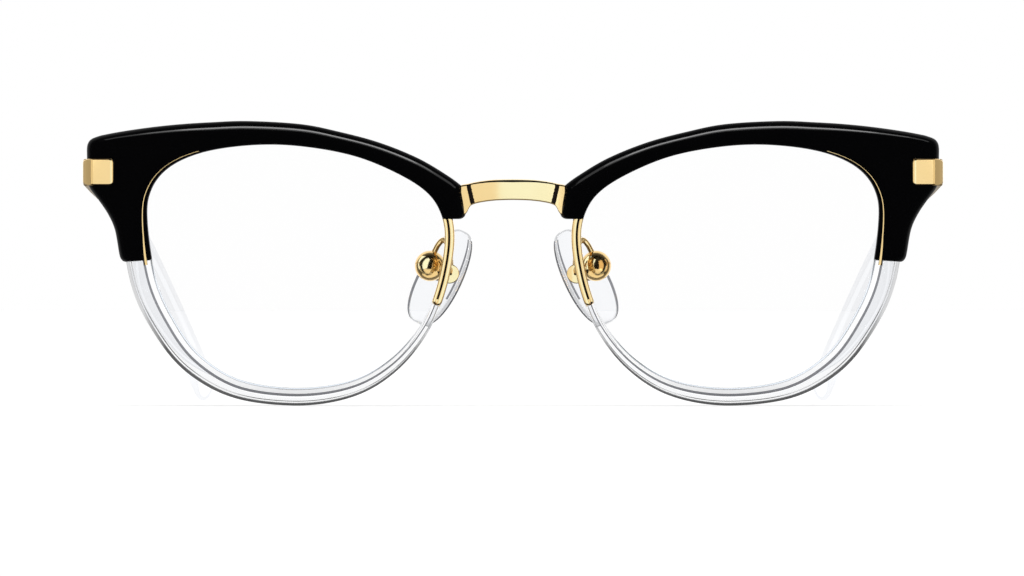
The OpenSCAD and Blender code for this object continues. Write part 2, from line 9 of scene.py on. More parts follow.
import bmesh
import bpy
from mathutils import Matrix, Vector


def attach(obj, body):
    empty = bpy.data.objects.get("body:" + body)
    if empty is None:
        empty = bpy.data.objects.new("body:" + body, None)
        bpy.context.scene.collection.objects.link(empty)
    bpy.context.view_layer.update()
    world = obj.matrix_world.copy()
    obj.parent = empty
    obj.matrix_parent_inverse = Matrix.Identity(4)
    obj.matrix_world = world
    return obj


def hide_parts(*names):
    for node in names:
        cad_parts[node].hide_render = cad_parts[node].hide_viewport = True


bl_info = {
    "name": "Browline Glasses",
    "version": (1, 0, 0),
    "blender": (4, 5, 0),
    "location": "3D View > Sidebar > Glasses",
    "description": "Builds browline glasses and their studio around a packed frame",
    "category": "Object",
}

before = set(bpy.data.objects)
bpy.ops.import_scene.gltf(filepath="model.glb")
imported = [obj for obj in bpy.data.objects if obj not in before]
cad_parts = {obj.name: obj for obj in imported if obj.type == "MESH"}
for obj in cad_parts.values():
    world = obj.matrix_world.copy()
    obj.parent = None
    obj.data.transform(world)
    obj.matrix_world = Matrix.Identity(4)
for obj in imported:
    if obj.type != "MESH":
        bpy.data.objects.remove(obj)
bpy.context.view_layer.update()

MM = 0.001
SIDES = ("left", "right")

# Outline of a lens opening from its centre, in millimetres: from its lowest point up beside the
# temple, over the top and down beside the nose
OPENING = (
    (0.1, -19.75), (9.1, -18.4), (15.6, -14.4), (19.8, -8.7), (22.8, -1.9), (24.2, 7.5),
    (23.6, 12.4), (20.8, 16.0), (15.7, 18.4), (8.7, 19.6), (1.2, 19.7), (-7.2, 18.5),
    (-13.7, 16.4), (-20.2, 12.9), (-23.3, 9.2), (-24.2, 4.2), (-22.9, -3.3), (-20.2, -9.6),
    (-15.3, -15.1), (-8.8, -18.6),
)
# Crest of the brow: share of the way from its nose end to its outer end, and drop below the top
CREST = (
    (0.0, 10.6), (0.035, 9.0), (0.115, 6.1), (0.22, 3.5), (0.33, 1.7), (0.43, 0.5), (0.57, 0.0),
    (0.67, 0.2), (0.75, 0.5), (0.83, 1.0), (0.91, 1.7), (0.962, 2.3),
)

# Places and sizes of the front, in millimetres, as in the CAD source
NOSE_GAP, OPENING_W, OPENING_H, RIM_BOTTOM = 22.2, 48.4, 39.5, 2.9
RIM_TEMPLE, RIM_NOSE = 4.2, 1.4
OPENING_IN = NOSE_GAP / 2
OPENING_OUT = OPENING_IN + OPENING_W
CENTRE = Vector((OPENING_IN + OPENING_W / 2, RIM_BOTTOM + OPENING_H / 2))
BROW_TOP = RIM_BOTTOM + OPENING_H + 3.9
BROW_END = OPENING_OUT + 9.9
FRONT_HALF = BROW_END + 0.7
NOSE_END = (OPENING_IN - 3.4, CENTRE[1] + 7.7)
LEG_END_Z = CENTRE[1] + 1
LEG_TIP_Z = CENTRE[1] - 5.5
RIM_JOIN_Z = LEG_TIP_Z + 3.5
# The front's curve is a ball's; depths count from it, and the object's middle is at MIDDLE_Y
FRONT_R, FRONT_CREST, MIDDLE_Y = 150.0, 28.0, 71.4941
BROW_T, RIM_SET, RIM_T, LENS_SET, LENS_T = 4.4, 0.9, 3.2, 2.0, 1.6
LENS_BACK = LENS_SET + LENS_T
GROOVE, SEAT = 0.45, 0.03
# Lugs on the eyewire that the brow's screws go through: places in the plane of the front
LUGS = ((23.4677, 41.8756), (51.5489, 42.9211))
LUG_R, LUG_PROUD = 1.1, 0.35
PLATE_Z, PLATE_H, PLATE_W, PLATE_T = 38.0, 4.4, 5.1, 0.7
BRIDGE_Y, BRIDGE_R, BRIDGE_T = 1.0, 40.0, 1.8

# Nose pads, with their boxes' places in the pad's own frame
PAD = Vector((11.8, 11.2, 20.9))
PAD_LEAN, PAD_TURN = math.radians(26), math.radians(38)
PAD_L, PAD_W, PAD_T = 16.8, 8.4, 2.2
BOX_AT, BALL_R, WIRE_R = Vector((0.7, -2.9, 0.9)), 2.5, 0.5

# Hinges and temples
HINGE = Vector((67.4, 12.9333, PLATE_Z))
SLOPE, ARM_TURN = math.radians(5), math.radians(3.5)
KNUCKLE_R, KNUCKLE_H, KNUCKLE_GAP, LEAF_T, ARM_CLEAR = 1.3, 1.4, 0.08, 0.8, 0.2
ARM_T, ARM_H, ARM_END_H, ARM_L, SLEEVE, TAPER_Y = 1.2, 4.4, 3.0, 92.0, 26.0, 12.0
ARM_MID = KNUCKLE_R + ARM_CLEAR + ARM_T / 2
TIP_T, TIP_H, TIP_L = 3.2, 6.4, 48.0
TIP_TURN, TIP_FALL = math.radians(13.5), math.radians(31.8232)
TIP_END_R, EAR_SOFT = TIP_H * 0.45, 14.0


# Sizes and colours a user would change


def colour(name, text, value):
    return bpy.props.FloatVectorProperty(
        name=name, description=text, default=value, size=3, subtype="COLOR", min=0, max=1
    )


def length(name, text, value):
    return bpy.props.FloatProperty(
        name=name, description=text, default=value, min=0, unit="LENGTH", precision=5
    )


def share(name, text, value):
    return bpy.props.FloatProperty(
        name=name, description=text, default=value, min=0, max=1, subtype="FACTOR"
    )


class GlassesSizes(bpy.types.PropertyGroup):
    """Edges and thin trim of the pieces"""

    brow_round: length("Brow edge", "Depth of the rounding of the brow's front edge", 0.0013)
    brow_shoulder: length("Brow shoulder", "Width of that rounding across the face", 0.0022)
    brow_lip: length("Brow lip", "Rounding of the brow's edge at the lens", 0.0005)
    rim_bevel: length("Rim bevel", "Width of the clear rim's slope to the lens", 0.0015)
    # The rim line is painted shade
    rim_line: length("Rim line", "Width of the dark edge between the rim's slope and face", 0.0005)
    rim_round: length("Rim edge", "Width of the clear rim's outer slope", 0.0005)
    line_at: length("Gold line place", "Distance of the gold line from the lens opening", 0.00075)
    line_w: length("Gold line width", "Width of the gold line in the brow", 0.0004)
    leg_w: length("Leg width", "Width of the gold leg beside the nose", 0.0016)


class GlassesFinishes(bpy.types.PropertyGroup):
    """Colours and gloss of the materials"""

    black: colour("Black acetate", "Colour of the brows", (0.0012, 0.0012, 0.0015))
    clear: colour("Clear acetate", "Tint of the lower rims and temple tips", (0.985, 0.99, 1.0))
    gold: colour("Gold", "Colour of the metal", (0.93, 0.66, 0.29))
    pad: colour("Pad", "Tint of the nose pads", (0.97, 0.975, 0.985))
    lens: colour("Lens", "Colour of the lens's reflection", (0.9, 0.95, 1.0))
    gold_rough: share("Gold roughness", "Roughness of the gold", 0.13)


class GlassesStudio(bpy.types.PropertyGroup):
    """Camera and floor"""

    camera_away: length("Camera distance", "Distance of the camera from the front", 3.0)
    camera_high: length("Camera height", "Height of the camera above the floor", 0.01913)
    view_w: length("View width", "Width of the picture at the front", 0.1664)
    floor: colour("Floor", "Colour of the floor", (0.8, 0.8, 0.8))


def size(name):
    """One of the sizes above, in millimetres."""
    return getattr(bpy.context.scene.glasses_sizes, name) / MM


def finishes():
    return bpy.context.scene.glasses_finishes


# Places and lines: points in the plane of the front are (x, z) in millimetres


def clamp(value, low=0, high=1):
    return min(max(value, low), high)


def moved(x, y, z):
    return Matrix.Translation((x, y, z))


def turned(angle, axis):
    return Matrix.Rotation(angle, 4, axis)


def quarter(steps):
    """Angles of a quarter turn, with both its ends."""
    return [math.pi / 2 * k / steps for k in range(steps + 1)]


def circle(steps):
    """Angles of a whole turn."""
    return [2 * math.pi * k / steps for k in range(steps)]


def around(place, offsets):
    return [(place[0] + x, place[1] + z) for x, z in offsets]


def spline(points, steps, closed=False):
    """A smooth curve through the points."""
    n, out = len(points), []

    def point(i):
        return points[i % n] if closed else points[clamp(i, 0, n - 1)]

    for i in range(n if closed else n - 1):
        row = [point(i + k) for k in (-1, 0, 1, 2)]
        for t in (j / steps for j in range(steps)):
            out.append(tuple(
                0.5 * (2 * b + t * (c - a) + t * t * (2 * a - 5 * b + 4 * c - d)
                       + t**3 * (3 * b - a - 3 * c + d))
                for a, b, c, d in zip(*row)))
    return out if closed else [*out, tuple(points[-1])]


class Line:
    """A polyline that is asked for points by the distance along it."""

    def __init__(self, points):
        self.points = [Vector(p) for p in points]
        self.marks = [0.0]
        for a, b in zip(self.points, self.points[1:]):
            self.marks.append(self.marks[-1] + (b - a).length)
        self.length = self.marks[-1]

    def at(self, s):
        s = clamp(s, 0.0, self.length)
        low, high = 0, len(self.marks) - 1
        while high - low > 1:
            mid = (low + high) // 2
            low, high = (mid, high) if self.marks[mid] <= s else (low, mid)
        span = self.marks[high] - self.marks[low]
        return self.points[low].lerp(self.points[high], (s - self.marks[low]) / span if span else 0)

    def outward(self, s, reach=0.4):
        """Direction away from the lens, for a line that runs from the temple over the top."""
        v = self.at(s + reach) - self.at(s - reach)
        return Vector((v.y, -v.x)).normalized()

    def nearest(self, p):
        """Distance along the line of its point nearest to p."""
        best = min(range(len(self.points)), key=lambda i: (self.points[i] - p).length_squared)
        return self.marks[best]


def opening(steps):
    """The lens opening as a ring of points, from its lowest up beside the temple."""
    return around(CENTRE, spline(OPENING, steps, closed=True))


def stretch(start_z, start_temple, end_z, end_temple):
    """The part of the opening between two heights, each on the temple's or the nose's side."""
    twice = opening(24) * 2

    def crossing(z, temple, first):
        for i in range(first, len(twice) - 1):
            a, b = twice[i], twice[i + 1]
            rising = b[1] > a[1]
            if rising == temple and (a[1] - z) * (b[1] - z) <= 0 and a[1] != b[1]:
                t = (z - a[1]) / (b[1] - a[1])
                return i, (a[0] + t * (b[0] - a[0]), z)
        raise RuntimeError("the opening has no place at that height")

    i, first = crossing(start_z, start_temple, 0)
    j, last = crossing(end_z, end_temple, i + 1)
    return Line([first, *twice[i + 1 : j + 1], last])


def front_point(x, z, depth):
    """A place of the curved front, at a depth behind its face."""
    flat = (FRONT_R - depth) ** 2 - (x - FRONT_CREST) ** 2 - (z - CENTRE[1]) ** 2
    return Vector((x, FRONT_R - math.sqrt(flat), z))


def front_ring(line, s, section):
    """A section's points across a line on the front, at a distance along it."""
    p, out = line.at(s), line.outward(s)
    return [front_point(*(p + out * u), v) for u, v in section]


def arc(cu, cv, ru, rv, first, last, steps):
    return [(cu + ru * math.cos(math.radians(first + (last - first) * k / steps)),
             cv + rv * math.sin(math.radians(first + (last - first) * k / steps)))
            for k in range(steps + 1)]


def rounded(corners, steps=4):
    """A closed section from (u, v, radius) corners, each rounded where its radius isn't 0."""
    out, n = [], len(corners)
    for i, (x, y, r) in enumerate(corners):
        here = Vector((x, y))
        a = Vector(corners[i - 1][:2]) - here
        c = Vector(corners[(i + 1) % n][:2]) - here
        if r <= 0 or a.length < 1e-6 or c.length < 1e-6:
            out.append(here)
            continue
        half = a.angle(c) / 2
        reach = min(r / math.tan(half), 0.48 * a.length, 0.48 * c.length)
        r = reach * math.tan(half)
        a, c = a.normalized(), c.normalized()
        middle = here + (a + c).normalized() * r / math.sin(half)
        v, w = here + a * reach - middle, here + c * reach - middle
        turn = v.angle(w)
        for s in (k / steps for k in range(steps + 1)):
            way = v * math.sin((1 - s) * turn) + w * math.sin(s * turn)
            out.append(middle + way / math.sin(turn))
    return out


def round_ends(total, r, between, steps=4):
    """Stations of a sweep with rounded ends: (distance, inset) pairs, with the places between
    the ends worked out from their distances."""
    start = [(r * (1 - math.cos(a)), r * (1 - math.sin(a))) for a in quarter(steps)]
    end = [(total - s, inset) for s, inset in reversed(start)]
    return [*start, *((s, 0.0) for s in between(start[-1][0], end[0][0])), *end]


def evenly(count):
    """Places that part the way between two distances into that many equal lengths."""
    return lambda a, b: [a + (b - a) * k / count for k in range(1, count)]


# Meshes


def all_in(bm):
    return [*bm.verts, *bm.edges, *bm.faces]


def edges_in(geom):
    return [g for g in geom if isinstance(g, bmesh.types.BMEdge)]


def verts_in(geom):
    return [g for g in geom if isinstance(g, bmesh.types.BMVert)]


def loft(bm, rings, dark=None):
    """A skin through closed rings of points, with its ends closed: the first ring's edges are
    extruded from place to place.

    Faces whose corners are all dark, by ring and place in the ring, get the second finish, which
    paints shade on them.
    """
    verts = [bm.verts.new(p) for p in rings[0]]
    edges = first = [bm.edges.new(pair) for pair in zip(verts, verts[1:] + verts[:1])]
    for number, ring in enumerate(rings[1:]):
        fresh = set(verts_in(bmesh.ops.extrude_edge_only(bm, edges=edges)["geom"]))
        after = [next(e.other_vert(v) for e in v.link_edges if e.other_vert(v) in fresh)
                 for v in verts]
        for v, p in zip(after, ring):
            v.co = p
        if dark:
            for j in range(len(after) - 1):
                corners = (verts[j], verts[j + 1], after[j + 1], after[j])
                bm.faces.get(corners).material_index = int(
                    all(dark(number + k, j + i) for k in (0, 1) for i in (0, 1)))
        edges = [bm.edges.get(pair) for pair in zip(after, after[1:] + after[:1])]
        verts = after
    for loop in (first, edges):
        bmesh.ops.contextual_create(bm, geom=loop)


def soften(bm, edges, width):
    """Rounds edges over, and gives the new corners."""
    return bmesh.ops.bevel(bm, geom=edges, offset=width, affect="EDGES", segments=3,
                           profile=0.5, material=-1)["verts"]


def cut(bm, geom, place, normal, clear=True):
    """Cuts geometry by a plane and gives the cut's edges; the side that it faces may go."""
    return edges_in(bmesh.ops.bisect_plane(bm, geom=geom, dist=1e-5, plane_co=place,
                                           plane_no=normal, clear_outer=clear)["geom_cut"])


def cylinder(bm, r, h, matrix, bevel=0.0):
    """A round bar from the matrix's origin along its z, with its edges rounded."""
    made = bmesh.ops.create_cone(bm, cap_ends=True, segments=32, radius1=r, radius2=r, depth=h,
                                 matrix=matrix @ moved(0, 0, h / 2))["verts"]
    if bevel:
        soften(bm, list({e for v in made for e in v.link_edges
                         if len(e.link_faces) == 2 and e.calc_face_angle(0) > 0.8}), bevel)


def screw_head(bm, r, h, matrix, slot, bevel):
    """A slotted head: a disc, and two halves on it with the slot between them."""
    cylinder(bm, r, h / 2, matrix)
    top = matrix @ moved(0, 0, h / 2)
    for side in (-1, 1):
        before = set(bm.verts)
        cylinder(bm, r, h / 2, top, bevel)
        verts = [v for v in bm.verts if v not in before]
        edges = {e for v in verts for e in v.link_edges}
        faces = {f for v in verts for f in v.link_faces}
        bmesh.ops.contextual_create(bm, geom=cut(
            bm, [*verts, *edges, *faces], top @ Vector((side * slot / 2, 0, 0)),
            top.to_3x3() @ Vector((-side, 0, 0))))


def tube(bm, points, r, sides=16):
    """A wire through a row of points in space, with closed ends."""
    path = [Vector(p) for p in points]
    rings, side = [], None
    for i, p in enumerate(path):
        d = (path[min(i + 1, len(path) - 1)] - path[max(i - 1, 0)]).normalized()
        side = d.orthogonal() if side is None else side - d * side.dot(d)
        side.normalize()
        up = d.cross(side)
        rings.append([p + r * (side * math.cos(a) + up * math.sin(a)) for a in circle(sides)])
    loft(bm, rings)


def block(bm, low, high, matrix, bevel):
    """A box between two corners in the matrix's frame, with its edges rounded."""
    low, high = Vector(low), Vector(high)
    place = Matrix.Translation((low + high) / 2) @ Matrix.Diagonal((*(high - low), 1))
    made = bmesh.ops.create_cube(bm, size=1, matrix=place)["verts"]
    made = soften(bm, list({e for v in made for e in v.link_edges}), bevel)
    bmesh.ops.transform(bm, matrix=matrix, verts=list({*made}))


def mesh_of(bm, name):
    mesh = bpy.data.meshes.new(name)
    bm.to_mesh(mesh)
    bm.free()
    return mesh


def new_object(name, data):
    """A new object in the scene."""
    made = bpy.data.objects.new(name, data)
    bpy.context.scene.collection.objects.link(made)
    return made


# Faces marked in a piece's mesh take the second finish, which by default is painted shade
def put(make, name, kind, side, body, slot, group=None, node=None, finish=None,
        second="gold_painted_shade", sharp=40):
    """Makes a piece in millimetres on the left side, and puts it in the scene on its body.

    It stands for the node of its name and side, and its finish is its slot's, unless others are
    given. A group's pieces have their own lamps.
    """
    base = f"{name}_{side}" if side else name
    bm = bmesh.new()
    make(bm)
    if side == "right":
        bmesh.ops.scale(bm, vec=(-1, 1, 1), verts=bm.verts)
    bmesh.ops.translate(bm, vec=(0, -MIDDLE_Y, 0), verts=bm.verts)
    bmesh.ops.scale(bm, vec=(MM, MM, MM), verts=bm.verts)
    bmesh.ops.remove_doubles(bm, verts=bm.verts, dist=1e-7)
    bmesh.ops.recalc_face_normals(bm, faces=bm.faces)
    name = f"{base}_{kind}"
    mesh = mesh_of(bm, name)
    mesh.shade_smooth()
    mesh.set_sharp_from_angle(angle=math.radians(sharp))
    mesh.materials.append(finish_of(finish or slot))
    if any(p.material_index for p in mesh.polygons):
        mesh.materials.append(finish_of(second))
    piece = new_object(name, mesh)
    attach(piece, body)
    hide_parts(node or base)
    if group:
        lit_group(group).objects.link(piece)


def put_gold(make, name, side, body, group="gold"):
    put(make, name, "gold", side, body, "gold_metal", group)


def lit_group(name):
    """A collection of pieces that have lamps of their own."""
    return bpy.data.collections.get(name) or bpy.data.collections.new(name)


# Materials


class Board:
    """The shader nodes of a material or of the world, with short ways to add and join them."""

    def __init__(self, tree):
        self.tree = tree

    def fill(self, node, inputs):
        """Links outputs to a node's inputs, or sets them to plain values, by name or place."""
        for key, value in inputs.items():
            if isinstance(value, bpy.types.NodeSocket):
                self.tree.links.new(value, node.inputs[key])
            else:
                node.inputs[key].default_value = value
        return node

    def add(self, kind, inputs=None, **settings):
        """A new node with its settings and its inputs."""
        node = self.tree.nodes.new("ShaderNode" + kind)
        for name, value in settings.items():
            setattr(node, name, value)
        return self.fill(node, inputs or {})

    def maths(self, kind, *values):
        return self.add("Math", dict(enumerate(values)), operation=kind).outputs["Value"]

    def noise(self, scale, detail=3.0):
        where = self.add("TexCoord").outputs["Object"]
        return self.add(
            "TexNoise", {"Vector": where, "Scale": scale, "Detail": detail}).outputs["Fac"]

    def spread(self, low, high, scale, detail=3.0):
        """A noise between two values."""
        return self.add("MapRange", {"Value": self.noise(scale, detail), "To Min": low,
                                     "To Max": high}).outputs["Result"]

    def ramp(self, source, stops):
        """Values along a 0 to 1 input."""
        node = self.add("ValToRGB", {"Fac": source})
        row = node.color_ramp.elements
        while len(row) < len(stops):
            row.new(0.5)
        for stop, (at, value) in zip(row, stops):
            stop.position = at
            stop.color = (value, value, value, 1)
        return node.outputs["Color"]

    def mix(self, share, a, b):
        """A colour between two."""
        return self.add("Mix", {"Factor": share, "A": a, "B": b},
                        data_type="RGBA").outputs["Result"]

    def mix_shader(self, share, a, b):
        """A shader between those of two nodes."""
        return self.add("MixShader", {0: share, 1: a.outputs[0], 2: b.outputs[0]})

    def show(self, node):
        """Makes a node's shader the surface of the material."""
        self.fill(self.tree.nodes["Material Output"], {"Surface": node.outputs[0]})

    def off_eighth(self, x, y):
        """Angle of a direction from the nearest multiple of 45 degrees of azimuth."""
        turn = self.maths("ABSOLUTE", self.maths("ARCTAN2", x, y))
        return self.maths("PINGPONG", turn, math.pi / 8)


def new_finish(draw):
    """A new material, drawn by a function that gets its board and its Principled shader."""
    finish = bpy.data.materials.new(draw.__name__ + "_finish")
    finish.use_nodes = True
    draw(Board(finish.node_tree), finish.node_tree.nodes["Principled BSDF"])
    return finish


ACETATE_IOR = 1.49


def black_acetate(board, shader):
    polish = board.add("Bump", {"Strength": 0.05, "Distance": 0.0002,
                                "Height": board.noise(160, detail=2)})
    board.fill(shader, {"Base Color": (*finishes().black, 1), "IOR": ACETATE_IOR,
                        "Roughness": board.spread(0.05, 0.12, 900),
                        "Normal": polish.outputs["Normal"]})


def clear_acetate(board, shader):
    board.fill(shader, {"Base Color": (*finishes().clear, 1), "IOR": ACETATE_IOR,
                        "Transmission Weight": 1, "Roughness": board.spread(0.0, 0.03, 700)})


def clear_painted_shade(board, shader):
    """Clear acetate tinted near black: painted shade for an edge that throws the light aside and so
    looks dark.
    """
    shade = board.mix(board.spread(0.0, 1.0, 60), (0.03, 0.031, 0.037, 1), (0.09, 0.093, 0.105, 1))
    board.fill(shader, {"Base Color": shade, "IOR": ACETATE_IOR, "Transmission Weight": 1,
                        "Roughness": board.spread(0.0, 0.08, 700)})


def gold_metal(board, shader, duller=1.0):
    rough, base = finishes().gold_rough * duller, finishes().gold
    dull = (base[0] * 0.94, base[1] * 0.9, base[2] * 0.82, 1)
    tone = board.mix(board.spread(0.2, 1.0, 260, detail=4), dull, (*base, 1))
    board.fill(shader, {"Base Color": tone, "Metallic": 1,
                        "Roughness": board.spread(rough * 0.75, rough * 1.25, 1500)})


def screw_steel(board, shader):
    gold_metal(board, shader, duller=1.4)


def gold_painted_shade(board, shader):
    """Near-black stand-in for gold: painted shade in its grooves, seams, sunken bars and slots."""
    board.fill(shader, {"Base Color": (0.02, 0.01, 0.003, 1), "IOR": 1.2,
                        "Roughness": board.spread(0.4, 0.6, 900)})


def lens_clear(board, shader):
    """A clear lens with a faint gloss."""
    board.tree.nodes.remove(shader)
    glint = board.add("BsdfGlossy", {"Color": (*finishes().lens, 1),
                                     "Roughness": board.spread(0.0, 0.02, 90)})
    share_lit = board.add("Fresnel", {"IOR": 1.12}).outputs["Fac"]
    board.show(board.mix_shader(share_lit, board.add("BsdfTransparent"), glint))


def thin_clear(board, shader, tint, ior, share_bent, edge_ior):
    """A clear finish that lets most light pass straight, and bends it at its edges."""
    board.fill(shader, {"Base Color": (*tint, 1), "IOR": ior, "Transmission Weight": 1,
                        "Roughness": board.spread(0.0, 0.04, 700)})
    edge = board.add("Fresnel", {"IOR": edge_ior}).outputs["Fac"]
    straight = board.add("BsdfTransparent", {"Color": (*tint, 1)})
    board.show(board.mix_shader(board.maths("MULTIPLY", edge, share_bent), straight, shader))


def clear_silicone(board, shader):
    thin_clear(board, shader, finishes().pad, ior=1.41, share_bent=0.35, edge_ior=1.45)


def clear_tip(board, shader):
    thin_clear(board, shader, finishes().clear, ACETATE_IOR, share_bent=0.13, edge_ior=1.25)


FINISHES = {draw.__name__: draw for draw in (
    black_acetate, clear_acetate, clear_painted_shade, clear_tip, gold_metal, screw_steel, gold_painted_shade,
    lens_clear, clear_silicone,
)}


def finish_of(name):
    """The material of that name, made when it is first asked for."""
    return bpy.data.materials.get(name + "_finish") or new_finish(FINISHES[name])


# Front


def brow_outer():
    """Outline of the brow, from the end of its temple-side leg over the top to the nose."""
    leg_out = OPENING_OUT + RIM_TEMPLE
    top = BROW_TOP - 2.6
    low = top - 7.9
    start_x = NOSE_END[0] + 0.6
    crest = [(start_x + f * (BROW_END - start_x), BROW_TOP - d) for f, d in spline(CREST, 6)]
    corner = spline([
        crest[-1], *around((BROW_END, top), ((-1, -0.15), (-0.35, -0.65), (0, -1.6), (0, -3.6))),
        (BROW_END, low + 1.6),
    ], 5)
    leg = spline([
        *around((BROW_END, low), ((-0.1, 0.6), (-0.6, -0.6), (-2.1, -2.6))),
        *around((leg_out, low), ((2.2, -4.7), (1.1, -7.2))),
        *around((leg_out, LEG_END_Z), ((0.4, 1.1), (0.1, 0.2), (-0.4, -0.3))),
    ], 6)
    nose = spline([
        *around(NOSE_END, ((1.6, 0), (0.8, 0.02), (0.22, 0.35), (0, 1), (0.15, 2.8))), crest[0],
    ], 5)
    return Line(reversed(nose[:-1] + crest[:-1] + corner + leg))


def matched(inner, outer, steps=360, passes=40):
    """For a distance along outer, the distance along inner that lies across from it."""
    marks = [inner.nearest(outer.at(outer.length * k / steps)) for k in range(steps + 1)]
    marks[0], marks[-1] = 0.0, inner.length
    for k in range(1, steps + 1):
        marks[k] = max(marks[k], marks[k - 1])
    for _ in range(passes):
        marks = [marks[0], *[(marks[k - 1] + 2 * marks[k] + marks[k + 1]) / 4
                             for k in range(1, steps)], marks[-1]]

    def across(s):
        f = clamp(s / outer.length, 0.0, 1.0) * steps
        k = min(int(f), steps - 1)
        return marks[k] + (marks[k + 1] - marks[k]) * (f - k)

    return across


def lens_groove(deep):
    """The lens's groove in a section, from the back to the front."""
    return [(0, deep), (GROOVE, deep), (GROOVE, LENS_SET - SEAT), (0, LENS_SET - SEAT)]


def brow_section(w, edge, shoulder, lip, skew):
    """Across the brow, from the lens outwards, and from its face to its back."""
    back, inner, flats = 0.7, 0.3, range(1, 6)
    wide, shelf = min(shoulder * skew, w * 0.6), min(back * skew, w * 0.3)
    front = [(lip + (w - wide - lip) * k / 6, 0.0) for k in flats]
    rear = [(w - shelf + (inner - w + shelf) * k / 6, BROW_T) for k in flats]
    return [
        *arc(lip, lip, lip, lip, 180, 270, 4), *front,
        *arc(w - wide, edge, wide, edge, 270, 360, 9),
        *arc(w - shelf, BROW_T - back, shelf, back, 0, 90, 5), *rear,
        *arc(inner, BROW_T - inner, inner, inner, 90, 180, 2), *lens_groove(LENS_BACK + SEAT),
    ]


def make_brow(bm):
    inner, outer = stretch(LEG_END_Z, True, NOSE_END[1], False), brow_outer()
    across = matched(inner, outer)
    edge, shoulder, lip = size("brow_round"), size("brow_shoulder"), size("brow_lip")
    rings = []
    for s, inset in round_ends(outer.length, 0.35, evenly(230)):
        a, b = inner.at(across(s)), outer.at(s)
        way, w = (b - a).normalized(), (b - a).length
        skew = 1 / max(abs(way.dot(outer.outward(s))), 0.62)
        # The shoulder narrows over the last stretch to the corner
        corner = clamp((b.x - BROW_END + 24) / 20)
        section = brow_section(w, edge, shoulder * (1 - 0.45 * corner), lip, skew)
        rings.append([front_point(*(a + way * (inset + u * (w - 2 * inset) / w)),
                                  inset + v * (BROW_T - 2 * inset) / BROW_T)
                      for u, v in section])
    loft(bm, rings)


class GLASSES_OT_brows(bpy.types.Operator):
    """Build the black brows"""

    bl_idname = "glasses.brows"
    bl_label = "Brows"

    def execute(self, context):
        for side in SIDES:
            put(make_brow, "brow", "acetate", side, "front", "black_acetate", "brows")
        return {"FINISHED"}


def rim_width(p):
    """Width of the lower rim beside a place of the opening, and how far to the side it is."""
    v = p - CENTRE
    sideways = (v.x / v.length) ** 2
    return RIM_BOTTOM + ((RIM_TEMPLE if v.x > 0 else RIM_NOSE) - RIM_BOTTOM) * sideways, sideways


# Places in the section of the clear rim at the two sides of its dark line, which is painted
# shade for the light that the edge throws aside
RIM_SHADE_LINE = (6, 7)


def rim_section(w, sideways):
    """Across the clear rim, from the lens outwards, and from its face to its back."""
    full_w, step_in, step_out = 3.4, 1.12, 1.0
    slope, f = min(size("rim_bevel"), 0.48 * w), min(1, w / full_w)
    edge = size("rim_round") * f
    # The line between the slope and the face gets painted shade
    line = size("rim_line") * f * (1 - 0.25 * sideways)
    front, back, deep = RIM_SET, RIM_SET + RIM_T, LENS_BACK + SEAT
    step = back - (0.02 + 0.16 * sideways)
    return rounded([
        (0, LENS_SET - 0.3, 0.06), (slope - line, front + line, 0), (slope, front, 0),
        (w - edge, front, 0.1), (w, front + edge * 1.4, 0.3), (w, step, 0.25),
        (w - step_out * f, step, 0.05), (w - step_in * f, back, 0.05), (0.35, back, 0.12),
        (0, deep + 0.2, 0), *((u, v, 0.05 if u else 0) for u, v in lens_groove(deep)),
    ], 5)


def make_rim(bm):
    line, count = stretch(RIM_JOIN_Z, False, LEG_END_Z + 2.5, True), 200
    stations = [line.length * k / count for k in range(count + 1)]
    loft(bm, [front_ring(line, s, rim_section(*rim_width(line.at(s)))) for s in stations],
         dark=lambda i, j: j in RIM_SHADE_LINE)
    # It ends level, just inside the brow's leg
    bmesh.ops.holes_fill(bm, edges=cut(bm, all_in(bm), (0, 0, LEG_END_Z + 0.3), (0, 0, 1)))


class GLASSES_OT_rims(bpy.types.Operator):
    """Build the clear lower rims"""

    bl_idname = "glasses.rims"
    bl_label = "Lower rims"

    def execute(self, context):
        for side in SIDES:
            put(make_rim, "lower_rim", "acetate", side, "front", "clear_acetate",
                second="clear_painted_shade")
        return {"FINISHED"}


def make_lens(bm):
    once = opening(8)
    line = Line([*once, once[0]])
    reach, edge = GROOVE - 0.05, 0.15
    rim = [line.at(s) + line.outward(s) * reach if 0.5 < s < line.length - 0.5
           else line.at(s) + Vector((0, -reach)) for s in line.marks[:-1]]

    def ring(grow, shrink, depth):
        return [front_point(*(CENTRE + (p - CENTRE) * grow - (p - CENTRE).normalized() * shrink),
                            depth) for p in rim]

    steps = (0.05, 0.2, 0.4, 0.6, 0.8, 0.93)
    loft(bm, [
        *[ring(grow, 0, LENS_SET) for grow in steps], ring(1, edge, LENS_SET),
        ring(1, 0, LENS_SET + edge), ring(1, 0, LENS_BACK - edge), ring(1, edge, LENS_BACK),
        *[ring(grow, 0, LENS_BACK) for grow in reversed(steps)],
    ])


class GLASSES_OT_lenses(bpy.types.Operator):
    """Build the lenses"""

    bl_idname = "glasses.lenses"
    bl_label = "Lenses"

    def execute(self, context):
        for side in SIDES:
            put(make_lens, "lens", "clear", side, "front", "lens_clear", sharp=30)
        return {"FINISHED"}


# Gold of the front


def lug_places():
    """Frames at the lugs, with z straight back from the brow's face."""
    return [Matrix.Translation(front_point(x, z, 0)) @ turned(-math.pi / 2, "X") for x, z in LUGS]


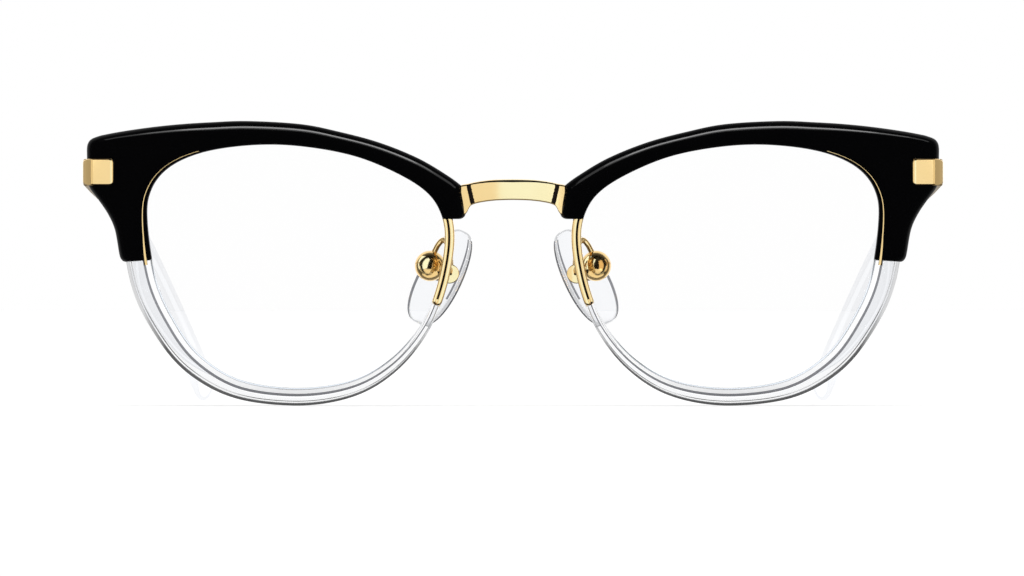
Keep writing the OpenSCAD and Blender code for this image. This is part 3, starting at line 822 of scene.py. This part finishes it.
# Face of the gold leg as shares of its width, with the depth there: two flat-topped ridges with
# a groove between them. Then the places in it at the two sides of the groove, which gets
# painted shade
LEG_FACE = (
    (0.0, 0.8), (0.03, 0.6), (0.08, 0.42), (0.12, 0.36), (0.15, 0.35), (0.32, 0.35), (0.345, 0.37),
    (0.37, 0.5), (0.38, 0.85), (0.53, 0.85), (0.54, 0.5), (0.565, 0.37), (0.59, 0.35),
    (0.84, 0.35), (0.88, 0.36), (0.92, 0.42), (0.97, 0.6), (1.0, 0.8),
)
LEG_GROOVE_SHADE = (7, 10)
# Depth of the leg's back, length that its stations are spread over, length of its rounded end,
# and steps in that
LEG_BACK, LEG_RUN, LEG_END, LEG_END_STEPS = 1.9, 15, 0.75, 6


def make_eyewire(bm):
    """The leg beside the nose, from inside the brow down, and the lugs for the brow's screws."""
    w, count = size("leg_w"), 60
    line = stretch(NOSE_END[1] + 0.6, False, LEG_TIP_Z - 0.55, False)
    join = line.nearest(Vector((OPENING_IN, RIM_JOIN_Z)))
    # The line is a little shorter than the run, so the first stations share its first point
    before = line.length - LEG_RUN
    stations = [(before * k / count, 0.0) for k in range(count)]
    stations += [(before + (LEG_RUN - LEG_END) * k / count, 0.0) for k in range(count)]
    stations += [(join - 0.01, 0.0), (join + 0.01, 0.0)]
    stations += [(line.length - LEG_END + LEG_END * math.sin(a), LEG_END * (1 - math.cos(a)))
                 for a in quarter(LEG_END_STEPS)]
    face = [(u * w, v) for u, v in LEG_FACE]
    # Behind the face: round the lens as far as the clear rim, and flat beside the rim
    web = [(w, LENS_BACK + 0.4), (w - 0.1, LENS_BACK + 0.55), (0.1, LENS_BACK + 0.55),
           (0, LENS_BACK + 0.4), (0, LENS_BACK + SEAT), (0.5, LENS_BACK + SEAT),
           (0.5, LENS_SET - SEAT), (0, LENS_SET - SEAT)]
    flat = [(w, LEG_BACK), (w - 0.1, LEG_BACK),
            *((f * w, LEG_BACK) for f in (0.9, 0.8, 0.6, 0.4, 0.2, 0))]
    rings, half = [], w / 2
    for s, inset in sorted(stations):
        p, out = line.at(s), line.outward(s, 0.8)
        squeeze = max(1 - inset / half, 0.12)
        rings.append([
            front_point(*(p + out * (half + (u - half) * squeeze)), v + 0.4 * inset * (v < 1))
            for u, v in [*face, *(web if s <= join else flat)]
        ])
    # The groove gets painted shade, short of the rounded end
    low, high = LEG_GROOVE_SHADE
    loft(bm, rings, dark=lambda i, j: low <= j <= high and i < len(rings) - LEG_END_STEPS - 1)
    for place in lug_places():
        cylinder(bm, LUG_R, BROW_T + LUG_PROUD - 3.0, place @ moved(0, 0, 3), bevel=0.12)


# Last ring and places in the section of the gold line tab's outer side, with painted shade
TAB_RINGS, TAB_SHADE = 21, (3, 4, 5)


def make_gold_line(bm):
    """The thin gold line let into the brow's temple-side leg, with a wider tab at its end."""
    line = stretch(LEG_END_Z - 0.6, True, CENTRE[1] + 18.4, True)
    first, width, proud, deep, tab_l = size("line_at"), size("line_w"), -0.05, 1.5, 4.5
    rings, count = [], 110
    for k in range(count + 1):
        f = (k / count) ** 1.5
        s = line.length * f
        tab = max(0.0, 1 - s / tab_l)
        w = width * (0.72 - 0.5 * min(f * 1.4, 1)) + 0.36 * tab
        at = first * (1.1 - 0.7 * f)
        section = ((at, deep), (at, 0.0), (at + 0.04, proud), (at + w * (0.95 - 0.35 * tab), proud),
                   (at + w, 0.25 + 0.12 * tab), (at + w, deep))
        rings.append(front_ring(line, s, section))
    loft(bm, rings, dark=lambda i, j: i <= TAB_RINGS and j in TAB_SHADE)


class GLASSES_OT_eyewires(bpy.types.Operator):
    """Build the gold eyewires with their legs beside the nose"""

    bl_idname = "glasses.eyewires"
    bl_label = "Eyewires"

    def execute(self, context):
        for side in SIDES:
            put_gold(make_eyewire, "eyewire", side, "front")
            put(make_gold_line, "eyewire", "line", side, "front", "gold_metal", "gold")
        return {"FINISHED"}


# Half of the bridge from the middle: x, top and bottom of its face
BRIDGE_LINE = (
    (0, 36.8, 33.45), (2, 36.77, 33.4), (3.7, 36.68, 33.27), (5.2, 36.5, 33.05),
    (6.2, 36.33, 32.82), (6.8, 36.2, 32.55), (7.15, 36.12, 32.1), (7.45, 36.05, 31.5),
    (7.8, 36.0, 31.1), (8.4, 35.9, 31.0),
)
# Bars between the bridge's face and its feet: place at the top and at the bottom, height of the
# bottom, length, width and depth, and how much deeper than the face the feet lie
STEP_TOP, STEP_LOW, STEP_Z, STEP_L, STEP_W, STEP_T, FOOT_T = 7.25, 6.5, 32.6, 3.3, 0.62, 1.1, 0.55


def bridge_step(x, z):
    """How far a place is across the sunken bar, with painted shade, beside the bridge's face: 0 to
    1 inside it.
    """
    middle = STEP_LOW + (STEP_TOP - STEP_LOW) * (z - STEP_Z) / STEP_L
    return (abs(x) - middle) / STEP_W + 0.5


def bridge_depth(x, z):
    across = bridge_step(x, z)
    return STEP_T if 0 < across < 1 else FOOT_T * (across > 0.5)


def make_bridge(bm):
    half, count, rows = Line(spline(BRIDGE_LINE, 8)), 110, 14
    right = [half.at(half.length * k / count) for k in range(count + 1)]
    left = [Vector((-p.x, p.y, p.z)) for p in reversed(right)]
    rings, shade_marks = [], []
    for x, top, low in left[:-1] + right:
        y = BRIDGE_Y + BRIDGE_R - math.sqrt(BRIDGE_R**2 - x * x)
        # A sunken seam with painted shade runs along the top, widest in the middle
        seam = 0.36 * (1 - 0.5 * min(abs(x) / 6.6, 1))
        high, bottom = top - 0.13 - seam, low + 0.2
        near = bridge_depth(x, high)
        heights = [high + (bottom - high) * k / rows for k in range(1, rows + 1)]
        face = [(near + 0.12, top), (near, top - 0.04), (near, top - 0.11),
                (near + 0.3, top - 0.13), (near + 0.3, high + 0.02), (near, high),
                *((bridge_depth(x, z), z) for z in heights),
                (bridge_depth(x, bottom) + 0.25, low)]
        back = BRIDGE_T - 0.6 * clamp(7 - abs(x))
        rear = [(back + 0.35, low), (back + 0.6, low + 0.25), (back + 0.6, top - 0.25),
                (back + 0.35, top)]
        rings.append([Vector((x, y + v, z)) for v, z in face + rear])
        # The seam and the bars get painted shade
        shade_marks.append([False] * 2 + [True] * 4 + [-0.16 < bridge_step(x, z) < 1.16 for z in heights]
                    + [False] * 5)
    loft(bm, rings, dark=lambda i, j: shade_marks[i][j])


class GLASSES_OT_bridge(bpy.types.Operator):
    """Build the gold bridge"""

    bl_idname = "glasses.bridge"
    bl_label = "Bridge"

    def execute(self, context):
        put_gold(make_bridge, "bridge", None, "front")
        return {"FINISHED"}


# Nose pads


def pad_place():
    return Matrix.Translation(PAD) @ turned(-PAD_LEAN, "Y") @ turned(PAD_TURN, "Z")


def box_place():
    return pad_place() @ Matrix.Translation(BOX_AT)


# Lines of painted shade along the pad's corners, where its edges throw the light aside: first
# and last place across it, and first and last row up it
PAD_ROWS, PAD_SIDES = 44, 56
PAD_SHADE_LINES = ((16, 22, 2, 30), (36, 38, 17, 38), (42, 46, 2, 38))


def on_pad_shade_line(i, j):
    return any(a <= j <= b and low <= i <= high for a, b, low, high in PAD_SHADE_LINES)


def make_pad(bm):
    """A drop with a squarish section, a little narrower and bowed back at its top."""
    place, end, squareness = pad_place(), 86, 0.55
    rings = []
    for i in range(PAD_ROWS + 1):
        a = math.radians(-end + 2 * end * i / PAD_ROWS)
        z, bow = PAD_L / 2 * math.sin(a), 0.25 * math.sin(a)
        w = PAD_W / 2 * math.cos(a) ** 0.75 * (1 - 0.08 * math.sin(a))
        t = PAD_T / 2 * math.cos(a) ** 0.5
        ring = []
        for b in circle(PAD_SIDES):
            u, v = (math.copysign(abs(f(b)) ** squareness, f(b)) for f in (math.sin, math.cos))
            ring.append(place @ Vector((w * u, bow + t * v, z)))
        rings.append(ring)
    # The lines along its corners get painted shade
    loft(bm, rings, dark=on_pad_shade_line)


def make_pad_arm(bm):
    """A wire from its solder base behind the eyewire's leg, over and down to the box."""
    root = Vector((OPENING_IN - 0.75, front_point(OPENING_IN, CENTRE[1], 0).y + 4.15,
                   CENTRE[1] - 1.2))
    middle = pad_place() @ BOX_AT
    path = spline([
        root + Vector((0, -0.3, 0)), root + Vector((-0.2, 0.8, 1.6)),
        root + Vector((0.1, 1.5, 4.3)), Vector((OPENING_IN + 0.2, middle.y - 1, middle.z + 4.2)),
        middle + Vector((-1.3, -0.6, 3.4)), middle + Vector((-0.6, -0.2, BALL_R - 0.5)),
    ], 8)
    tube(bm, path, WIRE_R * 0.9)
    cylinder(bm, 1.6, 0.6, Matrix.Translation(root) @ turned(-math.pi / 2, "X"), bevel=0.15)


def make_pad_box(bm):
    """A ball cut flat at its back, with a slot for the pad's tongue open to the back and top."""
    half_gap, back, slot_from = 0.63, 1.4, 0.2
    across, along = (1, 0, 0), (0, 1, 0)
    bmesh.ops.create_uvsphere(bm, u_segments=64, v_segments=40, radius=BALL_R)
    for place, normal in (((0, back, 0), along), ((half_gap, 0, 0), across),
                          ((-half_gap, 0, 0), across), ((0, slot_from, 0), along)):
        off = place[1] == back
        edges = cut(bm, all_in(bm), place, normal, clear=off)
        if off:
            bmesh.ops.contextual_create(bm, geom=edges)
    middles = [(f, f.calc_center_median()) for f in bm.faces]
    faces = [f for f, p in middles if abs(p.x) < half_gap - 0.01 and p.y > slot_from]
    fresh = verts_in(bmesh.ops.extrude_face_region(bm, geom=faces)["geom"])
    bmesh.ops.delete(bm, geom=faces, context="FACES")
    bmesh.ops.scale(bm, vec=(1, 0.3, 0.55), verts=fresh)
    # The slot's faces get painted shade
    for f in {f for v in fresh for f in v.link_faces}:
        f.material_index = 1
    bmesh.ops.transform(bm, matrix=box_place(), verts=bm.verts)


def make_pad_stem(bm):
    """A disc in the pad with a neck, and a tongue with a boss for the screw in the box."""
    disc = pad_place() @ moved(BOX_AT.x, 0, BOX_AT.z)
    bmesh.ops.create_uvsphere(
        bm, u_segments=48, v_segments=24, radius=1,
        matrix=disc @ moved(0, -0.2, 0) @ Matrix.Diagonal((1.75, 0.7, 1.75, 1)))
    cylinder(bm, 1.1, 0.6, disc @ moved(0, -0.4, 0) @ turned(math.pi / 2, "X"), bevel=0.15)
    half, high = 0.55, 0.8
    cylinder(bm, 1.1, 2 * half, box_place() @ turned(math.pi / 2, "Y") @ moved(0, 0, -half),
             bevel=0.08)
    block(bm, (-half, 0, -high), (half, -BOX_AT.y - 0.5, high), box_place(), bevel=0.1)


def make_pad_screw(bm):
    axis = box_place() @ turned(math.pi / 2, "Y")
    cylinder(bm, 0.45, 2 * BALL_R - 0.6, axis @ moved(0, 0, 0.3 - BALL_R))
    screw_head(bm, 0.8, 0.4, axis @ moved(0, 0, BALL_R - 0.5), slot=0.22, bevel=0.06)


class GLASSES_OT_pads(bpy.types.Operator):
    """Build the clear nose pads with their stems, boxes and arms"""

    bl_idname = "glasses.pads"
    bl_label = "Nose pads"

    def execute(self, context):
        for side in SIDES:
            put(make_pad, "nose_pad", "clear", side, f"pad_{side}", "clear_silicone",
                second="clear_painted_shade")
            put_gold(make_pad_arm, "pad_arm", side, "front")
            put_gold(make_pad_box, "pad_box", side, "front", "balls")
            put_gold(make_pad_stem, "pad_stem", side, f"pad_{side}")
        return {"FINISHED"}


# Corners, hinges and temples


def hinge_place():
    return Matrix.Translation(HINGE) @ turned(-SLOPE, "X")


def arm_place():
    return hinge_place() @ turned(ARM_TURN, "Z")


def make_plate(bm):
    """A strip that lies on the corner's face and bends round to its side."""
    y_in = front_point(BROW_END - PLATE_W + PLATE_T, PLATE_Z, 0).y
    y_out = front_point(BROW_END, PLATE_Z, 0).y
    first = Vector((FRONT_HALF - PLATE_W + 0.12, y_in - 0.35))
    bend = Vector((FRONT_HALF - 1.6, y_out - 0.5))
    chamfer = around((FRONT_HALF, y_out), ((-1.42, -0.4), (-0.3, 1.2), (0, 2.1)))
    line = Line([first, first.lerp(bend, 0.94), bend, *spline(chamfer, 5),
                 (FRONT_HALF, HINGE.y - 0.7)])
    rings = []
    for s, inset in round_ends(line.length, 0.65,
                               lambda a, b: [m for m in line.marks if a < m < b], 8):
        p, out = line.at(s), line.outward(s, 0.15)
        h = PLATE_H / 2 - inset - 0.3 * clamp((p.x - FRONT_HALF + 0.9) / 0.9) ** 2
        section = rounded([(0, -h, 0.5), (0, h, 0.5), (PLATE_T, h, 0.1), (PLATE_T, -h, 0.1)], 6)
        rings.append([Vector((*(p - out * (v + inset * (0.6 if v < 0.3 else 0))), PLATE_Z + z))
                      for v, z in section])
    loft(bm, rings)


class GLASSES_OT_corners(bpy.types.Operator):
    """Build the gold corner plates"""

    bl_idname = "glasses.corners"
    bl_label = "Corner plates"

    def execute(self, context):
        for side in SIDES:
            put_gold(make_plate, "corner_plate", side, "front")
        return {"FINISHED"}


def make_front_leaf(bm):
    """A leaf behind the brow's corner, with a knuckle above and one below the temple's."""
    low, high = PLATE_Z - PLATE_H / 2 + 0.1, PLATE_Z + PLATE_H / 2 - 0.1
    first, last, count = BROW_END - 6.4, BROW_END - 0.1, 12
    section = rounded([(0, low, 0), (0, high, 0), (LEAF_T, high, 0.2), (LEAF_T, low, 0.2)], 3)
    loft(bm, [[front_point(first + (last - first) * k / count, z, BROW_T + v) for v, z in section]
              for k in range(count + 1)])
    start = KNUCKLE_H / 2 + KNUCKLE_GAP
    tall = PLATE_H / 2 - start
    for flip in (math.pi, 0):
        place = hinge_place() @ turned(flip, "Y") @ moved(0, 0, start)
        cylinder(bm, KNUCKLE_R, tall, place, bevel=0.12)
        block(bm, (-KNUCKLE_R, -KNUCKLE_R - 0.8, 0), (KNUCKLE_R, 0, tall), place, bevel=0.1)


def make_temple_leaf(bm):
    """The middle knuckle, and a leaf that is riveted to the inside of the arm."""
    place = hinge_place() @ moved(0, 0, -KNUCKLE_H / 2)
    cylinder(bm, KNUCKLE_R, KNUCKLE_H, place, bevel=0.1)
    inside, half = KNUCKLE_R + ARM_CLEAR - 0.6, 1.5
    block(bm, (0, 0, 0), (inside + 0.3, KNUCKLE_R + 1, KNUCKLE_H), place, bevel=0.08)
    block(bm, (inside, KNUCKLE_R + 0.4, -half), (inside + 0.6, KNUCKLE_R + 8.4, half), arm_place(),
          bevel=0.15)
    for y in (5.0, 8.2):
        cylinder(bm, 0.75, 0.18, arm_place() @ moved(inside, y, 0) @ turned(-math.pi / 2, "Y"),
                 bevel=0.08)


class GLASSES_OT_hinges(bpy.types.Operator):
    """Build the hinge leaves"""

    bl_idname = "glasses.hinges"
    bl_label = "Hinges"

    def execute(self, context):
        for side in SIDES:
            put_gold(make_front_leaf, "hinge_front", side, "front")
            put_gold(make_temple_leaf, "hinge_temple", side, f"temple_{side}")
        return {"FINISHED"}


def make_arm(bm):
    """A flat arm that tapers to the tip, with a core that goes on inside it."""
    place = arm_place()
    first, last = -0.4, ARM_L - SLEEVE
    rings = []
    for s, inset in round_ends(last - first, 0.25, evenly(40)):
        y = first + s
        f = clamp((y - TAPER_Y) / (last - TAPER_Y))
        h = (ARM_H + (ARM_END_H - ARM_H) * f) / 2 - inset
        t = ARM_T / 2 - inset * 0.6
        section = rounded([(t, -h, 0.3), (t, h, 0.3), (-t, h, 0.2), (-t, -h, 0.2)], 4)
        rings.append([place @ Vector((ARM_MID + u, y, v)) for u, v in section])
    loft(bm, rings)
    block(bm, (ARM_MID - 0.45, last - 1, -0.8), (ARM_MID + 0.45, last + SLEEVE - 3, 0.8), place,
          bevel=0.12)


def tip_path(s):
    """A place along the middle of the temple tip, in the arm's frame."""
    bend = Vector((ARM_MID, ARM_L, 0))
    way = Vector((-math.cos(TIP_FALL) * math.sin(TIP_TURN),
                  math.cos(TIP_FALL) * math.cos(TIP_TURN), -math.sin(TIP_FALL)))
    if s < SLEEVE - EAR_SOFT:
        return Vector((ARM_MID, ARM_L - SLEEVE + s, 0))
    if s > SLEEVE + EAR_SOFT:
        return bend + way * (s - SLEEVE)
    t = (s - SLEEVE + EAR_SOFT) / (2 * EAR_SOFT)
    a, c = bend - Vector((0, EAR_SOFT, 0)), bend + way * EAR_SOFT
    return (1 - t) ** 2 * a + 2 * t * (1 - t) * bend + t * t * c


def make_tip(bm):
    """An oval bar that grows taller behind the ear and ends round: (distance, scale) stations."""
    place, whole, sleeve_h = arm_place(), SLEEVE + TIP_L, ARM_END_H + 1
    count, soft, sides = 90, 0.6, 40
    straight = whole - soft - TIP_END_R
    stations = [(soft * (1 - math.cos(a)), 1 - soft * (1 - math.sin(a)) / 2) for a in quarter(5)]
    stations += [(soft + straight * k / count, 1.0) for k in range(1, count)]
    stations += [(whole - TIP_END_R * (1 - math.sin(a)), max(math.cos(a), 0.02))
                 for a in quarter(12)]
    rings = []
    for s, scale in stations:
        f = clamp((s / whole - 0.35) / 0.5)
        half = sleeve_h / 2 + (TIP_H - sleeve_h) / 2 * math.sin(math.pi / 2 * f)
        d = (tip_path(min(s + 0.2, whole)) - tip_path(max(s - 0.2, 0))).normalized()
        side = d.cross(Vector((0, 0, 1))).normalized()
        up = side.cross(d)
        rings.append([place @ (tip_path(s) + side * TIP_T / 2 * scale * math.cos(a)
                               + up * half * scale * math.sin(a)) for a in circle(sides)])
    loft(bm, rings)


class GLASSES_OT_temples(bpy.types.Operator):
    """Build the temple arms and their clear tips"""

    bl_idname = "glasses.temples"
    bl_label = "Temples"

    def execute(self, context):
        for side in SIDES:
            put_gold(make_arm, "temple_arm", side, f"temple_{side}")
            put(make_tip, "temple_tip", "acetate", side, f"temple_{side}", "clear_acetate",
                finish="clear_tip")
        return {"FINISHED"}


def make_brow_screws(bm):
    for place in lug_places():
        screw_head(bm, LUG_R - 0.25, 0.5, place @ moved(0, 0, BROW_T + LUG_PROUD), slot=0.25,
                   bevel=0.08)


def make_hinge_screw(bm):
    cylinder(bm, 0.6, PLATE_H, hinge_place() @ moved(0, 0, -PLATE_H / 2))
    screw_head(bm, KNUCKLE_R - 0.2, 0.5, hinge_place() @ moved(0, 0, PLATE_H / 2), slot=0.3,
               bevel=0.1)


class GLASSES_OT_screws(bpy.types.Operator):
    """Build the screws of the brows, hinges and pads"""

    bl_idname = "glasses.screws"
    bl_label = "Screws"

    def execute(self, context):
        for side in SIDES:
            for node, make in (("brow_screws", make_brow_screws),
                               ("hinge_screws", make_hinge_screw), ("pad_screws", make_pad_screw)):
                put(make, node, "gold", side, "front", "screw_steel", "gold", node)
        return {"FINISHED"}


# Studio

# Brightness seen through clear pieces, by the angle from straight on and from every 45 degrees
# beside it: white in the middle, then a dark ring, and grey between the rings and overhead
WORLD_RINGS = ((0, 1), (0.05, 1), (0.075, 0.06), (0.17, 0.06), (0.24, 0.76), (0.4, 0.72),
               (0.48, 0.08), (1, 0.05))
FLOOR_RINGS = ((0, 1), (0.065, 1), (0.09, 0.06), (0.17, 0.06), (0.24, 0.76), (1, 0.72))
# Brightness that the gold and the acetate mirror, from before the front to behind it
WORLD_GLOSS = ((0, 0.01), (0.5, 0.03), (0.75, 0.25), (1, 0.35))
WORLD_FILL = 0.45
# The floor in metres: half its width, its height, and its reach. Its own light, by the share of
# that reach, evens out the top lamp's falloff, and gives way to the rings far off
FLOOR_HALF, FLOOR_Z, FLOOR_REACH = 12, -0.03 * MM, 4.0
FLOOR_GLOW = ((0, 0.37), (0.075, 0.36), (0.15, 0.39), (0.25, 0.48), (0.5, 0.62), (1, 0.67))
FLOOR_FAR = ((0, 0), (0.3, 0), (0.5, 1))


def make_world():
    world = bpy.data.worlds.new("studio")
    world.use_nodes = True
    world.cycles.sampling_method = "NONE"
    board = Board(world.node_tree)
    way = board.add("TexCoord").outputs["Generated"]
    x, y, z = board.add("SeparateXYZ", {"Vector": way}).outputs
    angles = [board.off_eighth(x, y), board.maths("ARCSINE", z)]
    squares = [board.maths("MULTIPLY", angle, angle) for angle in angles]
    off = board.maths("SQRT", board.maths("ADD", *squares))
    behind = board.maths("ADD", board.maths("MULTIPLY", y, 0.5), 0.5)
    ray = board.add("LightPath").outputs
    shade = board.mix(ray["Is Glossy Ray"], (*[WORLD_FILL] * 3, 1), board.ramp(behind, WORLD_GLOSS))
    shade = board.mix(ray["Is Transmission Ray"], shade, board.ramp(off, WORLD_RINGS))
    shade = board.mix(ray["Is Camera Ray"], shade, (1, 1, 1, 1))
    board.fill(world.node_tree.nodes["Background"], {"Color": shade})
    bpy.context.scene.world = world


def floor_paper(board, shader):
    """Paper with a light of its own; far off, clear pieces show the world's rings on it."""
    board.tree.nodes.remove(shader)
    where = board.add("TexCoord").outputs["Object"]
    reach = board.add("VectorMath", {0: where}, operation="LENGTH").outputs["Value"]
    far = board.maths("DIVIDE", reach, FLOOR_REACH)
    paper = board.add("BsdfDiffuse", {"Color": (*bpy.context.scene.glasses_studio.floor, 1),
                                      "Roughness": board.spread(0.3, 0.5, 40)})
    glow = board.add("Emission", {"Strength": board.ramp(far, FLOOR_GLOW)})
    near = board.add("AddShader", {0: paper.outputs[0], 1: glow.outputs[0]})
    x, y = board.add("SeparateXYZ", {"Vector": where}).outputs[:2]
    rings = board.add("Emission", {"Strength": board.ramp(board.off_eighth(x, y), FLOOR_RINGS)})
    through = board.add("LightPath").outputs["Is Transmission Ray"]
    share_far = board.maths("MULTIPLY", through, board.ramp(far, FLOOR_FAR))
    board.show(board.mix_shader(share_far, near, rings))


def make_floor():
    bm = bmesh.new()
    bmesh.ops.create_grid(bm, x_segments=8, y_segments=8, size=FLOOR_HALF)
    bmesh.ops.translate(bm, vec=(0, 0, FLOOR_Z), verts=bm.verts)
    mesh = mesh_of(bm, "floor")
    mesh.materials.append(new_finish(floor_paper))
    floor = new_object("floor", mesh)
    floor.visible_glossy = False


# Lamps: name, azimuth and elevation seen from the glasses, distance, width, height, radiance,
# tint, and the group of pieces that it alone lights, or None for the one that casts the shadow
PLAIN, SOFT, PALE, WARM = (1, 1, 1), (1, 1.07, 1.2), (0.78, 1.02, 1.45), (1, 0.8, 0.55)
LAMPS = (
    ("top", 0, 90, 1.4, 2.2, 2.2, 1.15, PLAIN, None),
    ("brow_strip", 4, 59, 2.0, 1.6, 0.32, 4.0, PLAIN, "brows"),
    ("brow_middle", 4, 59, 2.02, 2.1, 0.36, 2.0, PLAIN, "brows"),
    ("brow_soft", 4, 56, 2.0, 2.8, 0.6, 0.9, PLAIN, "brows"),
    ("gold_front", 7, 0, 1.6, 0.8, 1.5, 1.36, PALE, "gold"),
    ("gold_front_left", -24, 0, 1.6, 0.98, 1.5, 1.0, SOFT, "gold"),
    ("gold_front_right", 31, 0, 1.6, 0.6, 1.5, 1.0, SOFT, "gold"),
    ("gold_left", -67, 16, 1.6, 1.7, 2.2, 0.85, PLAIN, "gold"),
    ("gold_right", 67, 16, 1.6, 1.7, 2.2, 0.85, PLAIN, "gold"),
    ("gold_side_left", -114, 5, 1.6, 0.9, 2.2, 0.3, PLAIN, "gold"),
    ("gold_side_right", 114, 5, 1.6, 0.9, 2.2, 0.3, PLAIN, "gold"),
    ("gold_back", 180, 20, 1.8, 2.4, 1.6, 1.1, PLAIN, "gold"),
    ("ball_left", -60, 22, 1.6, 3.0, 3.0, 1.5, PALE, "balls"),
    ("ball_right", 62, 4, 1.6, 2.4, 2.4, 0.9, WARM, "balls"),
    ("ball_low", 0, -64, 1.6, 3.6, 2.6, 1.0, PLAIN, "balls"),
    ("ball_back", 180, 10, 1.6, 4.4, 4.0, 0.8, PLAIN, "balls"),
)
LAMP_AIM = Vector((0, -0.06, 0.025))


def make_lamps():
    for name, around_by, up_by, away, wide, high, level, tint, group in LAMPS:
        data = bpy.data.lights.new(name, "AREA")
        data.shape = "RECTANGLE"
        data.size, data.size_y = wide, high
        data.color = tint
        data.energy = level * math.pi * wide * high
        lamp = new_object(name, data)
        a, e = math.radians(around_by), math.radians(up_by)
        way = Vector((math.sin(a) * math.cos(e), -math.cos(a) * math.cos(e), math.sin(e)))
        lamp.location = LAMP_AIM + way * away
        lamp.rotation_euler = (-way).to_track_quat("-Z", "Y").to_euler()
        lamp.visible_camera = False
        lamp.visible_transmission = False
        if group:
            lamp.light_linking.receiver_collection = lit_group(group)
            lamp.visible_diffuse = False
        else:
            lamp.visible_glossy = False


# Offset of the camera to the side, in metres, and width of its sensor, in millimetres
CAMERA_X, SENSOR_W = -0.00016, 36


def make_camera():
    studio = bpy.context.scene.glasses_studio
    data = bpy.data.cameras.new("camera")
    data.sensor_width = SENSOR_W
    data.lens = SENSOR_W * studio.camera_away / studio.view_w
    data.clip_start, data.clip_end = 0.1, 40
    camera = new_object("camera", data)
    front_y = (BRIDGE_Y - MIDDLE_Y) * MM
    camera.location = (CAMERA_X, front_y - studio.camera_away, studio.camera_high)
    camera.rotation_euler = (math.radians(90), 0, 0)
    bpy.context.scene.camera = camera


class GLASSES_OT_stage(bpy.types.Operator):
    """Set up the floor, the lamps, the world and the camera"""

    bl_idname = "glasses.stage"
    bl_label = "Studio"

    def execute(self, context):
        context.scene.view_settings.view_transform = "Standard"
        make_world()
        make_floor()
        make_lamps()
        make_camera()
        return {"FINISHED"}


OPERATORS = (
    GLASSES_OT_brows,
    GLASSES_OT_rims,
    GLASSES_OT_lenses,
    GLASSES_OT_eyewires,
    GLASSES_OT_bridge,
    GLASSES_OT_pads,
    GLASSES_OT_corners,
    GLASSES_OT_hinges,
    GLASSES_OT_temples,
    GLASSES_OT_screws,
    GLASSES_OT_stage,
)
GROUPS = (
    (GlassesSizes, "glasses_sizes"),
    (GlassesFinishes, "glasses_finishes"),
    (GlassesStudio, "glasses_studio"),
)


class GLASSES_PT_panel(bpy.types.Panel):
    """Sizes, finishes and the build steps of the glasses"""

    bl_idname = "GLASSES_PT_panel"
    bl_label = "Browline Glasses"
    bl_space_type = "VIEW_3D"
    bl_region_type = "UI"
    bl_category = "Glasses"

    def draw(self, context):
        for group, name in GROUPS:
            box = self.layout.box()
            box.label(text=group.__doc__)
            for key in group.__annotations__:
                box.prop(getattr(context.scene, name), key)
        for operator in OPERATORS:
            self.layout.operator(operator.bl_idname)


def register():
    for group, name in GROUPS:
        bpy.utils.register_class(group)
        setattr(bpy.types.Scene, name, bpy.props.PointerProperty(type=group))
    for operator in OPERATORS:
        bpy.utils.register_class(operator)
    bpy.utils.register_class(GLASSES_PT_panel)


def unregister():
    bpy.utils.unregister_class(GLASSES_PT_panel)
    for operator in reversed(OPERATORS):
        bpy.utils.unregister_class(operator)
    for group, name in reversed(GROUPS):
        delattr(bpy.types.Scene, name)
        bpy.utils.unregister_class(group)


def main():
    register()
    for operator in OPERATORS:
        area, name = operator.bl_idname.split(".")
        getattr(getattr(bpy.ops, area), name)()


if __name__ == "__main__":
    main()
